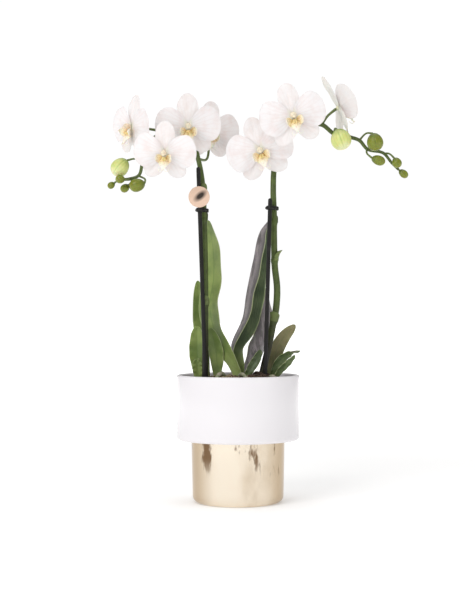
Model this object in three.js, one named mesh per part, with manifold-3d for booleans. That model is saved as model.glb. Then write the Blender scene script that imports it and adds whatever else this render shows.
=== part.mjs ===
// A potted moth orchid: a stepped ceramic cover pot, a plastic nursery pot of bark inside it, and a plant
// with two flower spikes clipped to stakes. Millimetres, +Z up, origin at the centre of the pot's foot.
// The front of the plant looks along -Y.

import * as THREE from "three";
import { mergeVertices } from "three/addons/utils/BufferGeometryUtils.js";
import Module from "manifold-3d";

const wasm = await Module();
wasm.setup();

// Cover pot: a wide upper band standing on a narrower foot.
const POT_HEIGHT = 118;
const BAND_RADIUS = 57;
const BAND_BOTTOM = 58;
const FOOT_RADIUS_TOP = 43.3;
const FOOT_RADIUS_BOTTOM = 42.3;
const FOOT_FILLET = 6;
const BAND_FILLET = 3.5;
const WALL = 3.5;
const POT_FLOOR = 5;

// Nursery pot, which stands on the cover pot's floor.
const GAP = 0.3;
const NURSERY_HEIGHT = 107;
const NURSERY_BASE_RADIUS = 31;
const NURSERY_RIM_RADIUS = 44;
const NURSERY_LIP = 2;
const NURSERY_LIP_HEIGHT = 4;
const NURSERY_WALL = 1.2;

// Bark: a low mound that fills the nursery pot.
const BARK_EDGE_Z = 108.5;
const BARK_MOUND = 4.5;
const STAKE_HOLE_GAP = 0.35;

const STAKE_RADIUS = 1.9;
const CLIP_HEIGHT = 3.6;
const CLIP_WALL = 1.6;
const CLIP_STAKE_GAP = 0.4;
const CLIP_STEM_HOLE = 3.4;
const TAG_RADIUS = 9.8;
const TAG_THICKNESS = 0.8;
const TAG_CENTRE_Z = 282;
const TAG_FORWARD = 3.2;
const SLEEVE = { radius: 3.1, bore: 2.3, length: 5, sides: 12 };

// Stems: how the two spikes and the short stalks on them are divided.
const SPIKE_GRID = { steps: 34, sides: 6 };
const STALK_GRID = { steps: 5, sides: 5 };
const FLOWER_STALK_RADIUS = 1.3;
const BUD_STALK_RADIUS = 1;
const ROOT_GRID = { steps: 9, sides: 7 };
const ROOT_TAPER = 0.8;

// Flowers: lengths and half widths of one blade of each kind, for a flower of scale 1.
const PETAL = { length: 31, halfWidth: 19.5, taper: 0.28, angles: [6, 174] };
const SEPAL_TOP = { length: 30.5, halfWidth: 10.4, taper: 0.12, angles: [90] };
const SEPAL_SIDE = { length: 29.5, halfWidth: 10.2, taper: 0.12, angles: [-128, -52] };
const BLADE_THICKNESS = 0.8;
const LAYER_STEP = 1.1;
const BLADE_POINTS = 12;
const BLADE_BEND = 0.003;
const HUB_RADIUS = 2.2;
const HUB_DEPTH = 1.5;
const FLOWER_BACK = 4;
const BUD_GAP = 0.9;

const LEAF_STATIONS = 9;
const LEAF_THICKNESS = 1.8;
const LEAF_BASE_SHARE = 0.36;
const LEAF_WIDEST = 0.6;
const LEAF_EDGE_THINNING = 0.45;

const DEGREE = Math.PI / 180;

const COLOURS = {
  glaze: { color: 0xf6f4f2, roughness: 0.2, metalness: 0 },
  nursery: { color: 0x4a4240, roughness: 0.45, metalness: 0 },
  bark: { color: 0x5a3f2c, roughness: 0.95, metalness: 0 },
  stem: { color: 0x4c6a2c, roughness: 0.55, metalness: 0 },
  stake: { color: 0x1d1c1b, roughness: 0.5, metalness: 0 },
  tag: { color: 0xe9c3a6, roughness: 0.85, metalness: 0 },
  leaf: { color: 0x5f8a2e, roughness: 0.42, metalness: 0 },
  root: { color: 0xb8a98a, roughness: 0.8, metalness: 0 },
  petal: { color: 0xfaf6f6, roughness: 0.6, metalness: 0 },
  sepal: { color: 0xf4efe8, roughness: 0.6, metalness: 0 },
  lip: { color: 0xf0cf7a, roughness: 0.5, metalness: 0 },
  bud: { color: 0xc9d26a, roughness: 0.5, metalness: 0 },
};

// Flowers: where each one's centre is, how far it turns to the side (yaw), up (pitch) and round (roll),
// how big it is, how far its petals cup forward and curl back, and where its stalk leaves the spike.
const FLOWERS = [
  { name: "a", at: [-98.8, -8, 346.8], yaw: -52, pitch: -4, roll: -10, scale: 0.98, cup: 0.12,
    stalk: [-72, 2, 345] },
  { name: "b", at: [-66.2, -38, 319], yaw: -6, pitch: -16, roll: -3, scale: 0.93, cup: 0.05,
    stalk: [-82, 2, 334], elbow: [-74, -16, 325] },
  { name: "c", at: [-46, -12, 347], yaw: 4, pitch: -12, roll: 2, scale: 0.99, cup: 0.05,
    stalk: [-47, 3, 341] },
  { name: "d", at: [-26.4, 15, 345.6], yaw: 18, pitch: -14, roll: 0, scale: 0.94, cup: 0.05,
    stalk: [-37, 1, 318], elbow: [-29, 25, 323] },
  { name: "e", at: [20.3, -10, 325.3], yaw: 0, pitch: -14, roll: 17, scale: 1.02, cup: 0.05,
    stalk: [33.5, 2, 312] },
  { name: "f", at: [50, -27, 354.3], yaw: 4, pitch: -8, roll: 15, scale: 1.0, cup: 0.05,
    stalk: [53, 4, 345] },
  { name: "g", at: [94.4, 0, 366.5], yaw: 98, pitch: 21, roll: 0, scale: 1.06, cup: 0.5, curl: 0.008,
    stalk: [78, 3, 351] },
];

// Spikes: the line of each one's stem, and its radius at the foot and at the tip.
const SPIKES = [
  {
    name: "spike_left",
    radius: [2.9, 1.3],
    path: [
      [-30.5, -1, 112.4], [-30.7, -1, 225], [-31.6, -1, 265], [-32.8, -1, 294], [-37, 1, 318], [-43, 3, 336],
      [-54, 3, 346], [-68, 2, 345], [-82, 2, 334], [-89, 2, 316], [-93, 2, 303], [-102, 2, 300],
      [-113, 2, 299.5],
    ],
  },
  {
    name: "spike_right",
    radius: [3.2, 1.2],
    path: [
      [21.2, -1, 113.6], [28, -1, 142], [31.6, -1, 160], [35.3, -1, 179], [36.3, -1, 198], [34.2, -1, 218],
      [33.5, -1, 244], [33.4, -1, 268], [32.8, 0, 290], [34, 3, 312], [38, 4, 329], [49, 4, 342],
      [66, 4, 351], [78, 3, 351], [90, 4, 342.5], [105, 2, 339], [113, 1, 336], [120, 0, 328],
      [136, 0, 323.5], [143, 0, 315], [150, 0, 308],
    ],
  },
];

// Stakes: the middle of each rod's two ends. They run down into the bark.
const STAKES = [
  { name: "stake_left", foot: [-27.8, -8.2, 50], top: [-36.9, -8.2, 310] },
  { name: "stake_right", foot: [23, -9, 50], top: [29.8, -9, 281] },
];

// Clips: the height of each one's underside, and where it holds the stake and the stem.
const CLIPS = [
  { name: "clip_left", z: 268.4, stake: [-35.6, -8.2], stem: [-31.8, -1] },
  { name: "clip_right", z: 270.4, stake: [29.65, -9], stem: [33.3, -1] },
];

// Buds: centre, half sizes along and across, and the point of the spike that each one's stalk leaves.
const BUDS = [
  { name: "bud_right_1", at: [94.5, -15, 334.7], length: 10, width: 9.2,
    lean: [0.35, -0.2, -1], stalk: [90, 4, 342.5] },
  { name: "bud_right_2", at: [126.7, -8, 333.2], length: 8.3, width: 7.3,
    lean: [0.2, 0, -1], stalk: [113, 1, 336] },
  { name: "bud_right_3", at: [130, -6, 316.5], length: 6.6, width: 4.7,
    lean: [1, 0, -0.35], stalk: [120, 0, 328] },
  { name: "bud_right_4", at: [147.2, -5, 314.4], length: 5, width: 4.4,
    lean: [0.5, -0.1, -1], stalk: [136, 0, 323.5] },
  { name: "bud_right_5", at: [154, 0, 304.8], length: 5, width: 3.6,
    lean: [0.7, 0, -0.6], stalk: [149.6, 0, 308.4] },
  { name: "bud_left_1", at: [-109.3, -5, 310.2], length: 9.4, width: 8.2,
    lean: [-0.6, -0.3, -0.7], stalk: [-89, 2, 316] },
  { name: "bud_left_2", at: [-93.3, -8, 293.2], length: 7.4, width: 6,
    lean: [-1, -0.1, -0.25], stalk: [-93, 2, 303] },
  { name: "bud_left_3", at: [-108.5, -13, 298.2], length: 4.4, width: 4.1,
    lean: [-0.9, -0.3, 0.1], stalk: [-102, 2, 300] },
  { name: "bud_left_4", at: [-105, -2, 291.1], length: 4.6, width: 3.7,
    lean: [-0.8, 0, -0.6], stalk: [-101, 2, 300] },
  { name: "bud_left_5", at: [-118.1, 1, 294.1], length: 3.7, width: 3.1,
    lean: [-0.8, 0, -0.6], stalk: [-112, 2, 299.5] },
];

// Leaves: the line of the midrib, the half width, the direction across the blade at base and tip as an
// angle from +X, and how steeply each half folds up from the midrib.
const LEAVES = [
  {
    name: "leaf_tall_left", halfWidth: 13, turn: [140, 138], fold: 8,
    spine: [
      [1, 0, 115.5], [-6, 3, 131], [-14, 8, 143], [-23, 13, 160],
      [-27, 15, 182], [-23.4, 15, 208], [-23.6, 14, 234], [-28, 10, 262],
    ],
  },
  {
    name: "leaf_tall_right", halfWidth: 17.5, turn: [-140, -105], fold: 55,
    spine: [
      [2, 14, 115.5], [-5.5, 16, 140], [6.6, 20, 173],
      [9.1, 21, 191], [16, 22, 225], [22.7, 20, 253], [29.3, 16, 262.5],
    ],
  },
  {
    name: "leaf_curved_right", halfWidth: 12.5, turn: [44, 44], fold: 20,
    spine: [
      [9, 5, 117], [13, 12, 127], [19, 20, 141],
      [25.6, 26, 154], [28, 30, 170], [27, 32, 185], [25.5, 33, 199],
    ],
  },
  {
    name: "leaf_left_front", halfWidth: 8.4, turn: [172, 176], fold: 20,
    spine: [[-36, 9, 112], [-38, 9.5, 138], [-38.5, 10, 163]],
  },
  {
    name: "leaf_left_back", halfWidth: 7.6, turn: [172, 184], fold: 20,
    spine: [[-29, 24, 112], [-35.5, 28, 160], [-38.4, 30, 206]],
  },
  {
    name: "leaf_left_inner", halfWidth: 7.6, turn: [188, 180], fold: 22,
    spine: [[-19.5, 6, 113], [-20.5, 7.5, 138], [-26, 8, 161]],
  },
  {
    name: "leaf_left_small", halfWidth: 5.4, turn: [176, 176], fold: 22,
    spine: [[-37, 4.6, 111.5], [-37.5, 4.6, 122], [-38.5, 4, 133]],
  },
  {
    name: "leaf_right_olive", halfWidth: 7.2, turn: [186, 172], fold: 16,
    spine: [[29, 9, 112], [34, 10, 135], [42, 9, 151], [53.5, 7, 164]],
  },
  {
    name: "leaf_right_twisted", halfWidth: 4.4, turn: [150, 215], fold: 14,
    spine: [[30.5, 1, 112], [38.5, -1, 130], [47.5, -2, 137.5], [58, -3, 140]],
  },
  {
    name: "leaf_right_low", halfWidth: 3.4, turn: [170, 200], fold: 18,
    spine: [[32.5, -7.5, 111.5], [39, -9, 122], [46, -10, 129], [52.5, -10, 136]],
  },
  {
    name: "leaf_centre_short", halfWidth: 4.6, turn: [176, 184], fold: 20,
    spine: [[6, -7, 114], [11.5, -7, 123], [17, -6, 132], [21, -6, 141]],
  },
];

// Air roots that leave the crown and lie over the bark.
const ROOTS = [
  { name: "air_root_1", radius: 2.1,
    path: [[-12, -6, 115.8], [-16, -13, 119], [-19, -22, 116], [-20, -30, 112.6]] },
  { name: "air_root_2", radius: 1.9,
    path: [[1, -9, 116], [3, -17, 118.8], [6, -25, 117.5], [9, -32, 113.2]] },
  { name: "air_root_3", radius: 1.7,
    path: [[27, -14, 114.4], [31, -17, 117], [35, -17, 115], [37.5, -16, 111.8]] },
  { name: "air_root_4", radius: 1.8,
    path: [[-13, 16, 116], [-15, 25, 118], [-13, 32, 114], [-11, 36, 111.6]] },
];

const vector = (point) => new THREE.Vector3(...point);

function material(name) {
  return new THREE.MeshStandardMaterial(COLOURS[name]);
}

function mesh(name, geometry, look) {
  const piece = new THREE.Mesh(geometry, material(look));
  piece.name = name;
  return piece;
}

// Turns a geometry's faces outwards, by the sign of the volume that they enclose.
function facingOut(geometry) {
  const position = geometry.getAttribute("position");
  const index = geometry.getIndex();
  const corner = (i) => new THREE.Vector3().fromBufferAttribute(position, index.getX(i));
  let volume = 0;
  for (let i = 0; i < index.count; i += 3) {
    volume += corner(i).dot(corner(i + 1).cross(corner(i + 2)));
  }
  if (volume < 0) {
    const flipped = Array.from(index.array).reverse();
    geometry.setIndex(flipped);
  }
  geometry.computeVertexNormals();
  return geometry;
}

// A closed skin over rings of equally many points, pulled to a point at each end.
function skin(rings, start, end) {
  const sides = rings[0].length;
  const points = [start, ...rings.flat(), end];
  const last = points.length - 1;
  const faces = [];
  for (let j = 0; j < sides; j += 1) {
    const next = (j + 1) % sides;
    faces.push(0, 1 + next, 1 + j);
    for (let i = 0; i < rings.length - 1; i += 1) {
      const low = 1 + i * sides;
      const high = low + sides;
      faces.push(low + j, low + next, high + j);
      faces.push(low + next, high + next, high + j);
    }
    faces.push(last, last - sides + j, last - sides + next);
  }
  const geometry = new THREE.BufferGeometry();
  const numbers = points.flatMap((point) => point.toArray());
  geometry.setAttribute("position", new THREE.Float32BufferAttribute(numbers, 3));
  geometry.setIndex(faces);
  return facingOut(geometry);
}

function toSolid(geometry) {
  const bare = geometry.clone();
  bare.deleteAttribute("normal");
  bare.deleteAttribute("uv");
  const merged = mergeVertices(bare, 1e-4);
  return new wasm.Manifold(new wasm.Mesh({
    numProp: 3,
    vertProperties: new Float32Array(merged.getAttribute("position").array),
    triVerts: new Uint32Array(merged.getIndex().array),
  }));
}

function toGeometry(solid) {
  const { vertProperties, triVerts } = solid.getMesh();
  const geometry = new THREE.BufferGeometry();
  geometry.setAttribute("position", new THREE.BufferAttribute(new Float32Array(vertProperties), 3));
  geometry.setIndex(new THREE.BufferAttribute(new Uint32Array(triVerts), 1));
  geometry.computeVertexNormals();
  return geometry;
}

function join(geometries) {
  return toGeometry(geometries.map(toSolid).reduce((whole, part) => whole.add(part)));
}

// A quarter circle of profile points round a centre, from one angle to another, in degrees.
function arc(centreX, centreY, radius, from, to, steps = 3) {
  return Array.from({ length: steps + 1 }, (_, i) => {
    const angle = (from + ((to - from) * i) / steps) * DEGREE;
    return new THREE.Vector2(centreX + radius * Math.cos(angle), centreY + radius * Math.sin(angle));
  });
}

// A solid of revolution about the vertical, from a profile that starts and ends on the axis.
function turned(profile, segments) {
  const lathe = new THREE.LatheGeometry(profile, segments);
  lathe.rotateX(Math.PI / 2);
  return facingOut(mergeVertices(stripped(lathe), 1e-4));
}

function stripped(geometry) {
  geometry.deleteAttribute("normal");
  geometry.deleteAttribute("uv");
  return geometry;
}

function coverPot() {
  const rim = WALL / 2;
  const profile = [
    new THREE.Vector2(0, 0),
    ...arc(FOOT_RADIUS_BOTTOM - FOOT_FILLET, FOOT_FILLET, FOOT_FILLET, -90, 0),
    new THREE.Vector2(FOOT_RADIUS_TOP, BAND_BOTTOM),
    ...arc(BAND_RADIUS - BAND_FILLET, BAND_BOTTOM + BAND_FILLET, BAND_FILLET, -90, 0),
    ...arc(BAND_RADIUS - rim, POT_HEIGHT - rim, rim, 0, 180),
    new THREE.Vector2(BAND_RADIUS - WALL, BAND_BOTTOM + WALL),
    new THREE.Vector2(FOOT_RADIUS_TOP - WALL, BAND_BOTTOM + WALL),
    new THREE.Vector2(FOOT_RADIUS_BOTTOM - WALL, POT_FLOOR),
    new THREE.Vector2(0, POT_FLOOR),
  ];
  return mesh("cover_pot", turned(profile, 40), "glaze");
}

function nurseryPot() {
  const base = POT_FLOOR + GAP;
  const rim = base + NURSERY_HEIGHT;
  const profile = [
    new THREE.Vector2(0, base),
    new THREE.Vector2(NURSERY_BASE_RADIUS, base),
    new THREE.Vector2(NURSERY_RIM_RADIUS, rim - NURSERY_LIP_HEIGHT),
    new THREE.Vector2(NURSERY_RIM_RADIUS + NURSERY_LIP, rim - NURSERY_LIP_HEIGHT),
    new THREE.Vector2(NURSERY_RIM_RADIUS + NURSERY_LIP, rim),
    new THREE.Vector2(NURSERY_RIM_RADIUS - NURSERY_WALL, rim),
    new THREE.Vector2(NURSERY_BASE_RADIUS - NURSERY_WALL, base + NURSERY_WALL),
    new THREE.Vector2(0, base + NURSERY_WALL),
  ];
  return mesh("nursery_pot", turned(profile, 32), "nursery");
}

// The bark's mound: highest in the middle, with low waves that stand for the chips.
function barkTop(x, y) {
  const radius = Math.hypot(x, y) / NURSERY_RIM_RADIUS;
  const waves = 0.5 * Math.sin(0.31 * x + 1) * Math.cos(0.27 * y);
  return BARK_EDGE_Z + BARK_MOUND * (1 - radius * radius) + waves;
}

function barkMix() {
  const bottom = POT_FLOOR + GAP + NURSERY_WALL + GAP;
  const slope = (NURSERY_RIM_RADIUS - NURSERY_BASE_RADIUS) / NURSERY_HEIGHT;
  const wallAt = (z) => NURSERY_BASE_RADIUS - NURSERY_WALL - 2 * GAP + (z - POT_FLOOR) * slope;
  const sides = 24;
  const ring = (radius, height) => Array.from({ length: sides }, (_, i) => {
    const angle = (i / sides) * 2 * Math.PI;
    const x = radius * Math.cos(angle);
    const y = radius * Math.sin(angle);
    return new THREE.Vector3(x, y, height === null ? barkTop(x, y) : height);
  });
  const topRadius = wallAt(BARK_EDGE_Z);
  const rings = [
    ring(wallAt(bottom), bottom),
    ring(topRadius, BARK_EDGE_Z - 1),
    ...[1, 0.7, 0.4].map((share) => ring((topRadius - 1) * share, null)),
  ];
  const mound = skin(rings, new THREE.Vector3(0, 0, bottom), new THREE.Vector3(0, 0, barkTop(0, 0)));
  const hole = ({ foot, top }) => toSolid(rod(foot, top, STAKE_RADIUS + STAKE_HOLE_GAP, 0.5));
  const bored = STAKES.map(hole).reduce((body, cut) => body.subtract(cut), toSolid(mound));
  return mesh("bark_mix", toGeometry(bored), "bark");
}

// A straight round rod between two points, lengthened by the same amount at both ends.
function rod(from, to, radius, extra = 0) {
  const start = vector(from);
  const end = vector(to);
  const along = end.clone().sub(start);
  const cylinder = new THREE.CylinderGeometry(radius, radius, along.length() + 2 * extra, 10);
  const turn = new THREE.Quaternion().setFromUnitVectors(new THREE.Vector3(0, 1, 0), along.normalize());
  cylinder.applyQuaternion(turn);
  const middle = start.add(end).multiplyScalar(0.5);
  cylinder.translate(middle.x, middle.y, middle.z);
  return cylinder;
}

function stake({ name, foot, top }) {
  return mesh(name, rod(foot, top, STAKE_RADIUS), "stake");
}

// A clip: a flat plate with one hole round the stake and one round the stem.
function clip({ name, z, stake: stakeAt, stem }) {
  const [stakeX, stakeY] = stakeAt;
  const [stemX, stemY] = stem;
  const stakeHole = STAKE_RADIUS + CLIP_STAKE_GAP;
  const angle = Math.atan2(stemY - stakeY, stemX - stakeX);
  const reach = Math.hypot(stemX - stakeX, stemY - stakeY);
  const outline = new THREE.Shape();
  outline.absarc(0, 0, stakeHole + CLIP_WALL, Math.PI / 2, (3 * Math.PI) / 2);
  outline.absarc(reach, 0, CLIP_STEM_HOLE + CLIP_WALL, -Math.PI / 2, Math.PI / 2);
  const hole = (x, radius) => new THREE.Path().absarc(x, 0, radius, 0, 2 * Math.PI, true);
  outline.holes.push(hole(0, stakeHole), hole(reach, CLIP_STEM_HOLE));
  const options = { depth: CLIP_HEIGHT, bevelEnabled: false, curveSegments: 8 };
  const plate = new THREE.ExtrudeGeometry(outline, options);
  const piece = mesh(name, plate, "stake");
  piece.position.set(stakeX, stakeY, z);
  piece.rotation.z = angle;
  return piece;
}

// The tag: a thin round card with a short sleeve behind it that slides on the stake.
function tag() {
  const { foot, top } = STAKES[0];
  const share = (TAG_CENTRE_Z - foot[2]) / (top[2] - foot[2]);
  const stakeX = foot[0] + (top[0] - foot[0]) * share;
  const card = new THREE.CylinderGeometry(TAG_RADIUS, TAG_RADIUS, TAG_THICKNESS, 24);
  card.translate(stakeX, foot[1] - TAG_FORWARD, TAG_CENTRE_Z);
  const tubeOf = (radius, length) => toSolid(
    new THREE.CylinderGeometry(radius, radius, length, SLEEVE.sides)
      .rotateX(Math.PI / 2).translate(stakeX, foot[1], TAG_CENTRE_Z),
  );
  const sleeve = tubeOf(SLEEVE.radius, SLEEVE.length).subtract(tubeOf(SLEEVE.bore, 2 * SLEEVE.length));
  return mesh("round_tag", toGeometry(sleeve.add(toSolid(card))), "tag");
}

// A tapering round tube through points, with a ring of its own at each step.
function tube(path, radii, { steps, sides }) {
  const curve = new THREE.CatmullRomCurve3(path.map(vector), false, "centripetal");
  const frames = curve.computeFrenetFrames(steps, false);
  const rings = Array.from({ length: steps + 1 }, (_, i) => {
    const share = i / steps;
    const radius = radii[0] + (radii[1] - radii[0]) * share * share;
    const centre = curve.getPointAt(share);
    return Array.from({ length: sides }, (__, j) => {
      const angle = (j / sides) * 2 * Math.PI;
      return centre.clone()
        .addScaledVector(frames.normals[i], radius * Math.cos(angle))
        .addScaledVector(frames.binormals[i], radius * Math.sin(angle));
    });
  });
  return skin(rings, curve.getPointAt(0), curve.getPointAt(1));
}

// The stalk from a spike to the back of what it carries.
function stalk(from, to, facing, backOff, radius, elbow) {
  const end = vector(to).addScaledVector(facing, -backOff);
  const bend = elbow ? vector(elbow) : vector(from).lerp(end, 0.6).addScaledVector(facing, -3);
  return tube([from, bend.toArray(), end.toArray()], [radius, radius], STALK_GRID);
}

// How a flower's own axes lie: its front is +Z before it is turned.
function flowerTurn({ yaw, pitch, roll }) {
  const turn = new THREE.Matrix4().makeRotationZ(yaw * DEGREE);
  turn.multiply(new THREE.Matrix4().makeRotationX((90 - pitch) * DEGREE));
  return turn.multiply(new THREE.Matrix4().makeRotationZ(roll * DEGREE));
}

function flowerFacing(flower) {
  return new THREE.Vector3(0, 0, 1).applyMatrix4(flowerTurn(flower));
}

function spike({ name, path, radius }, side) {
  const pieces = [tube(path, radius, SPIKE_GRID)];
  FLOWERS.filter(side).forEach((flower) => {
    const facing = flowerFacing(flower);
    pieces.push(stalk(flower.stalk, flower.at, facing, FLOWER_BACK, FLOWER_STALK_RADIUS, flower.elbow));
  });
  BUDS.filter(side).forEach((bud) => {
    const lean = vector(bud.lean).normalize();
    pieces.push(stalk(bud.stalk, bud.at, lean, bud.length + BUD_GAP, BUD_STALK_RADIUS));
  });
  return mesh(name, join(pieces), "stem");
}

// One blade of a flower: a thin sheet over a leaf-shaped outline that follows the given surface.
function blade({ length, halfWidth, taper }, angle, scale, surface) {
  const turn = angle * DEGREE;
  const middle = length / 2;
  const place = (along, across, lift) => {
    const x = scale * (along * Math.cos(turn) - across * Math.sin(turn));
    const y = scale * (along * Math.sin(turn) + across * Math.cos(turn));
    return new THREE.Vector3(x, y, surface(x, y) + lift);
  };
  const ring = (share, lift) => Array.from({ length: BLADE_POINTS }, (_, i) => {
    const round = (i / BLADE_POINTS) * 2 * Math.PI;
    const u = (1 - Math.cos(round)) / 2;
    const across = halfWidth * Math.sin(round) * Math.pow(u, taper);
    return place(middle + (length * u - middle) * share, across * share, lift);
  });
  const half = BLADE_THICKNESS / 2;
  const rings = [ring(0.5, half), ring(1, half), ring(1, -half), ring(0.5, -half)];
  return skin(rings, place(middle, 0, half), place(middle, 0, -half));
}

function hub(bottom, top) {
  const cylinder = new THREE.CylinderGeometry(HUB_RADIUS, HUB_RADIUS, top - bottom, 8).rotateX(Math.PI / 2);
  return cylinder.translate(0, 0, (top + bottom) / 2);
}

function ellipsoid(at, size) {
  return new THREE.SphereGeometry(1, 8, 5).scale(...size).translate(...at);
}

// A blade that leans forward by the given slope covers less of the flower's plane.
function foreshortened(kind, slope) {
  return { ...kind, length: kind.length / Math.hypot(1, slope) };
}

// The two petals, which cup forward to the sides and can curl back above and below.
function petals(scale, cup, curl) {
  const surface = (x, y) => {
    const across = Math.abs(x);
    return (cup * across * across) / (across + 5) - BLADE_BEND * (x * x + y * y) - curl * y * y;
  };
  const kind = foreshortened(PETAL, cup);
  const blades = kind.angles.map((angle) => blade(kind, angle, scale, surface));
  return join([...blades, hub(-BLADE_THICKNESS / 2, BLADE_THICKNESS)]);
}

// The three sepals, which lie just behind the petals.
function sepals(scale) {
  const surface = (x, y) => -LAYER_STEP - BLADE_BEND * (x * x + y * y);
  const blades = [SEPAL_TOP, SEPAL_SIDE].flatMap((kind) => (
    kind.angles.map((angle) => blade(kind, angle, scale, surface))
  ));
  const hubFront = -LAYER_STEP + BLADE_THICKNESS / 2;
  return join([...blades, hub(hubFront - HUB_DEPTH - BLADE_THICKNESS / 2, hubFront)]);
}

// The lip with its two side lobes and the column above it.
function lip(scale) {
  const parts = [
    ellipsoid([0, 0.4, 4.7], [2.4, 3, 3.4]),
    ellipsoid([0, -7.8, 5.4], [3, 6.2, 2.2]),
    ellipsoid([-4.2, -5, 5.8], [2.1, 3.4, 2.4]),
    ellipsoid([4.2, -5, 5.8], [2.1, 3.4, 2.4]),
  ];
  return join(parts.map((part) => part.scale(scale, scale, 1)));
}

function flower({ name, at, yaw, pitch, roll, scale, cup, curl = 0 }) {
  const placed = new THREE.Group();
  placed.position.set(...at);
  placed.rotation.set((90 - pitch) * DEGREE, 0, yaw * DEGREE, "ZXY");
  const rolled = new THREE.Group();
  rolled.rotation.z = roll * DEGREE;
  rolled.add(mesh(`flower_${name}_petals`, petals(scale, cup, curl), "petal"));
  rolled.add(mesh(`flower_${name}_sepals`, sepals(scale), "sepal"));
  rolled.add(mesh(`flower_${name}_lip`, lip(scale), "lip"));
  placed.add(rolled);
  return placed;
}

// A bud: an egg shape, fuller towards its free end.
function bud({ name, at, length, width, lean }) {
  const steps = 5;
  const sides = 9;
  const rings = Array.from({ length: steps }, (_, i) => {
    const angle = ((i + 1) / (steps + 1)) * Math.PI;
    const along = -Math.cos(angle);
    const radius = width * Math.sin(angle) * (1 + 0.1 * along);
    return Array.from({ length: sides }, (__, j) => {
      const round = (j / sides) * 2 * Math.PI;
      return new THREE.Vector3(radius * Math.cos(round), radius * Math.sin(round), length * along);
    });
  });
  const shell = skin(rings, new THREE.Vector3(0, 0, -length), new THREE.Vector3(0, 0, length));
  const piece = mesh(name, shell, "bud");
  piece.position.set(...at);
  piece.quaternion.setFromUnitVectors(new THREE.Vector3(0, 0, 1), vector(lean).normalize());
  return piece;
}

// How wide a leaf is along its length, from a narrow base to a rounded tip, as a share of its half width.
function leafWidth(u) {
  const swell = Math.sin(Math.min(1, u / LEAF_WIDEST) * (Math.PI / 2));
  const rise = LEAF_BASE_SHARE + (1 - LEAF_BASE_SHARE) * swell;
  return rise * Math.sqrt(1 - Math.pow(u, 4));
}

function leaf({ name, spine, halfWidth, turn, fold }) {
  const curve = new THREE.CatmullRomCurve3(spine.map(vector), false, "centripetal");
  const shares = [-1, -0.5, 0, 0.5, 1];
  const rings = Array.from({ length: LEAF_STATIONS }, (_, i) => {
    const u = (i / LEAF_STATIONS) * 0.995;
    const centre = curve.getPointAt(u);
    const tangent = curve.getTangentAt(u);
    const angle = (turn[0] + (turn[1] - turn[0]) * u) * DEGREE;
    const across = new THREE.Vector3(Math.cos(angle), Math.sin(angle), 0);
    across.addScaledVector(tangent, -across.dot(tangent)).normalize();
    const normal = tangent.clone().cross(across);
    const width = halfWidth * leafWidth(u);
    const point = (share, side) => centre.clone()
      .addScaledVector(across, share * width * Math.cos(fold * DEGREE))
      .addScaledVector(normal, Math.abs(share) * width * Math.sin(fold * DEGREE))
      .addScaledVector(normal, (side * LEAF_THICKNESS * (1 - LEAF_EDGE_THINNING * Math.abs(share))) / 2);
    const top = shares.map((share) => point(share, 1));
    const bottom = shares.map((share) => point(share, -1)).reverse();
    return [...top, ...bottom];
  });
  const start = curve.getPointAt(0).addScaledVector(curve.getTangentAt(0), -0.6);
  return mesh(name, skin(rings, start, curve.getPointAt(1)), "leaf");
}

function root({ name, path, radius }) {
  return mesh(name, tube(path, [radius, radius * ROOT_TAPER], ROOT_GRID), "root");
}

const isLeft = ({ at }) => at[0] < 0;
const isRight = ({ at }) => at[0] > 0;

const group = new THREE.Group();
group.add(coverPot(), nurseryPot(), barkMix());
group.add(spike(SPIKES[0], isLeft), spike(SPIKES[1], isRight));
group.add(...STAKES.map(stake), ...CLIPS.map(clip), tag());
group.add(...LEAVES.map(leaf), ...ROOTS.map(root), ...BUDS.map(bud), ...FLOWERS.map(flower));

export default group;
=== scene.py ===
"""A potted moth orchid: a glazed and gilded cover pot, bark, leaves, two flower spikes, flowers and buds.

Every shape is a closed skin over a grid of points worked out with numpy. Sizes in the placement tables are
in millimetres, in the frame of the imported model: +Z up, -Y to the front, origin under the pot.
"""

from __future__ import annotations

import logging
import math
from dataclasses import dataclass, field
from enum import Enum
from typing import Callable

import bpy
import numpy as np
from mathutils import Matrix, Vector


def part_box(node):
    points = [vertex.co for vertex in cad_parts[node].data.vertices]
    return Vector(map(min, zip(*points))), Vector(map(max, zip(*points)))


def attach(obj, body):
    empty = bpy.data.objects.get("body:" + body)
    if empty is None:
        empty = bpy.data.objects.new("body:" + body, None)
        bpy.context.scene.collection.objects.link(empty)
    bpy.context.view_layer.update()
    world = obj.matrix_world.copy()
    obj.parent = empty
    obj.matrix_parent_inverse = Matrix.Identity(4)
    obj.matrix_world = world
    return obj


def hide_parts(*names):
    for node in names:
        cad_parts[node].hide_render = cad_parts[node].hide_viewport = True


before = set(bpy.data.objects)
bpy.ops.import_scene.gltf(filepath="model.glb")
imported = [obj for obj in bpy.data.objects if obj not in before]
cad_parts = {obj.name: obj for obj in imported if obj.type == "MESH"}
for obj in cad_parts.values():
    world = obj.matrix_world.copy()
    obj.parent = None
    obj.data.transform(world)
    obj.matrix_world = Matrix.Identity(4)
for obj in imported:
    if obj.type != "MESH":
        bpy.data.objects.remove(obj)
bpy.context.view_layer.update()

LOG = logging.getLogger("potted_orchid")
MM = 0.001

Colour = tuple[float, float, float]
Point = tuple[float, float, float]
RadiusRule = Callable[[np.ndarray], np.ndarray]
Surface = Callable[[np.ndarray, np.ndarray], np.ndarray]
Socket = bpy.types.NodeSocket
Value = float | bpy.types.NodeSocket
Tint = Colour | bpy.types.NodeSocket


# ----------------------------
# Closed surfaces
# ----------------------------


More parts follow.
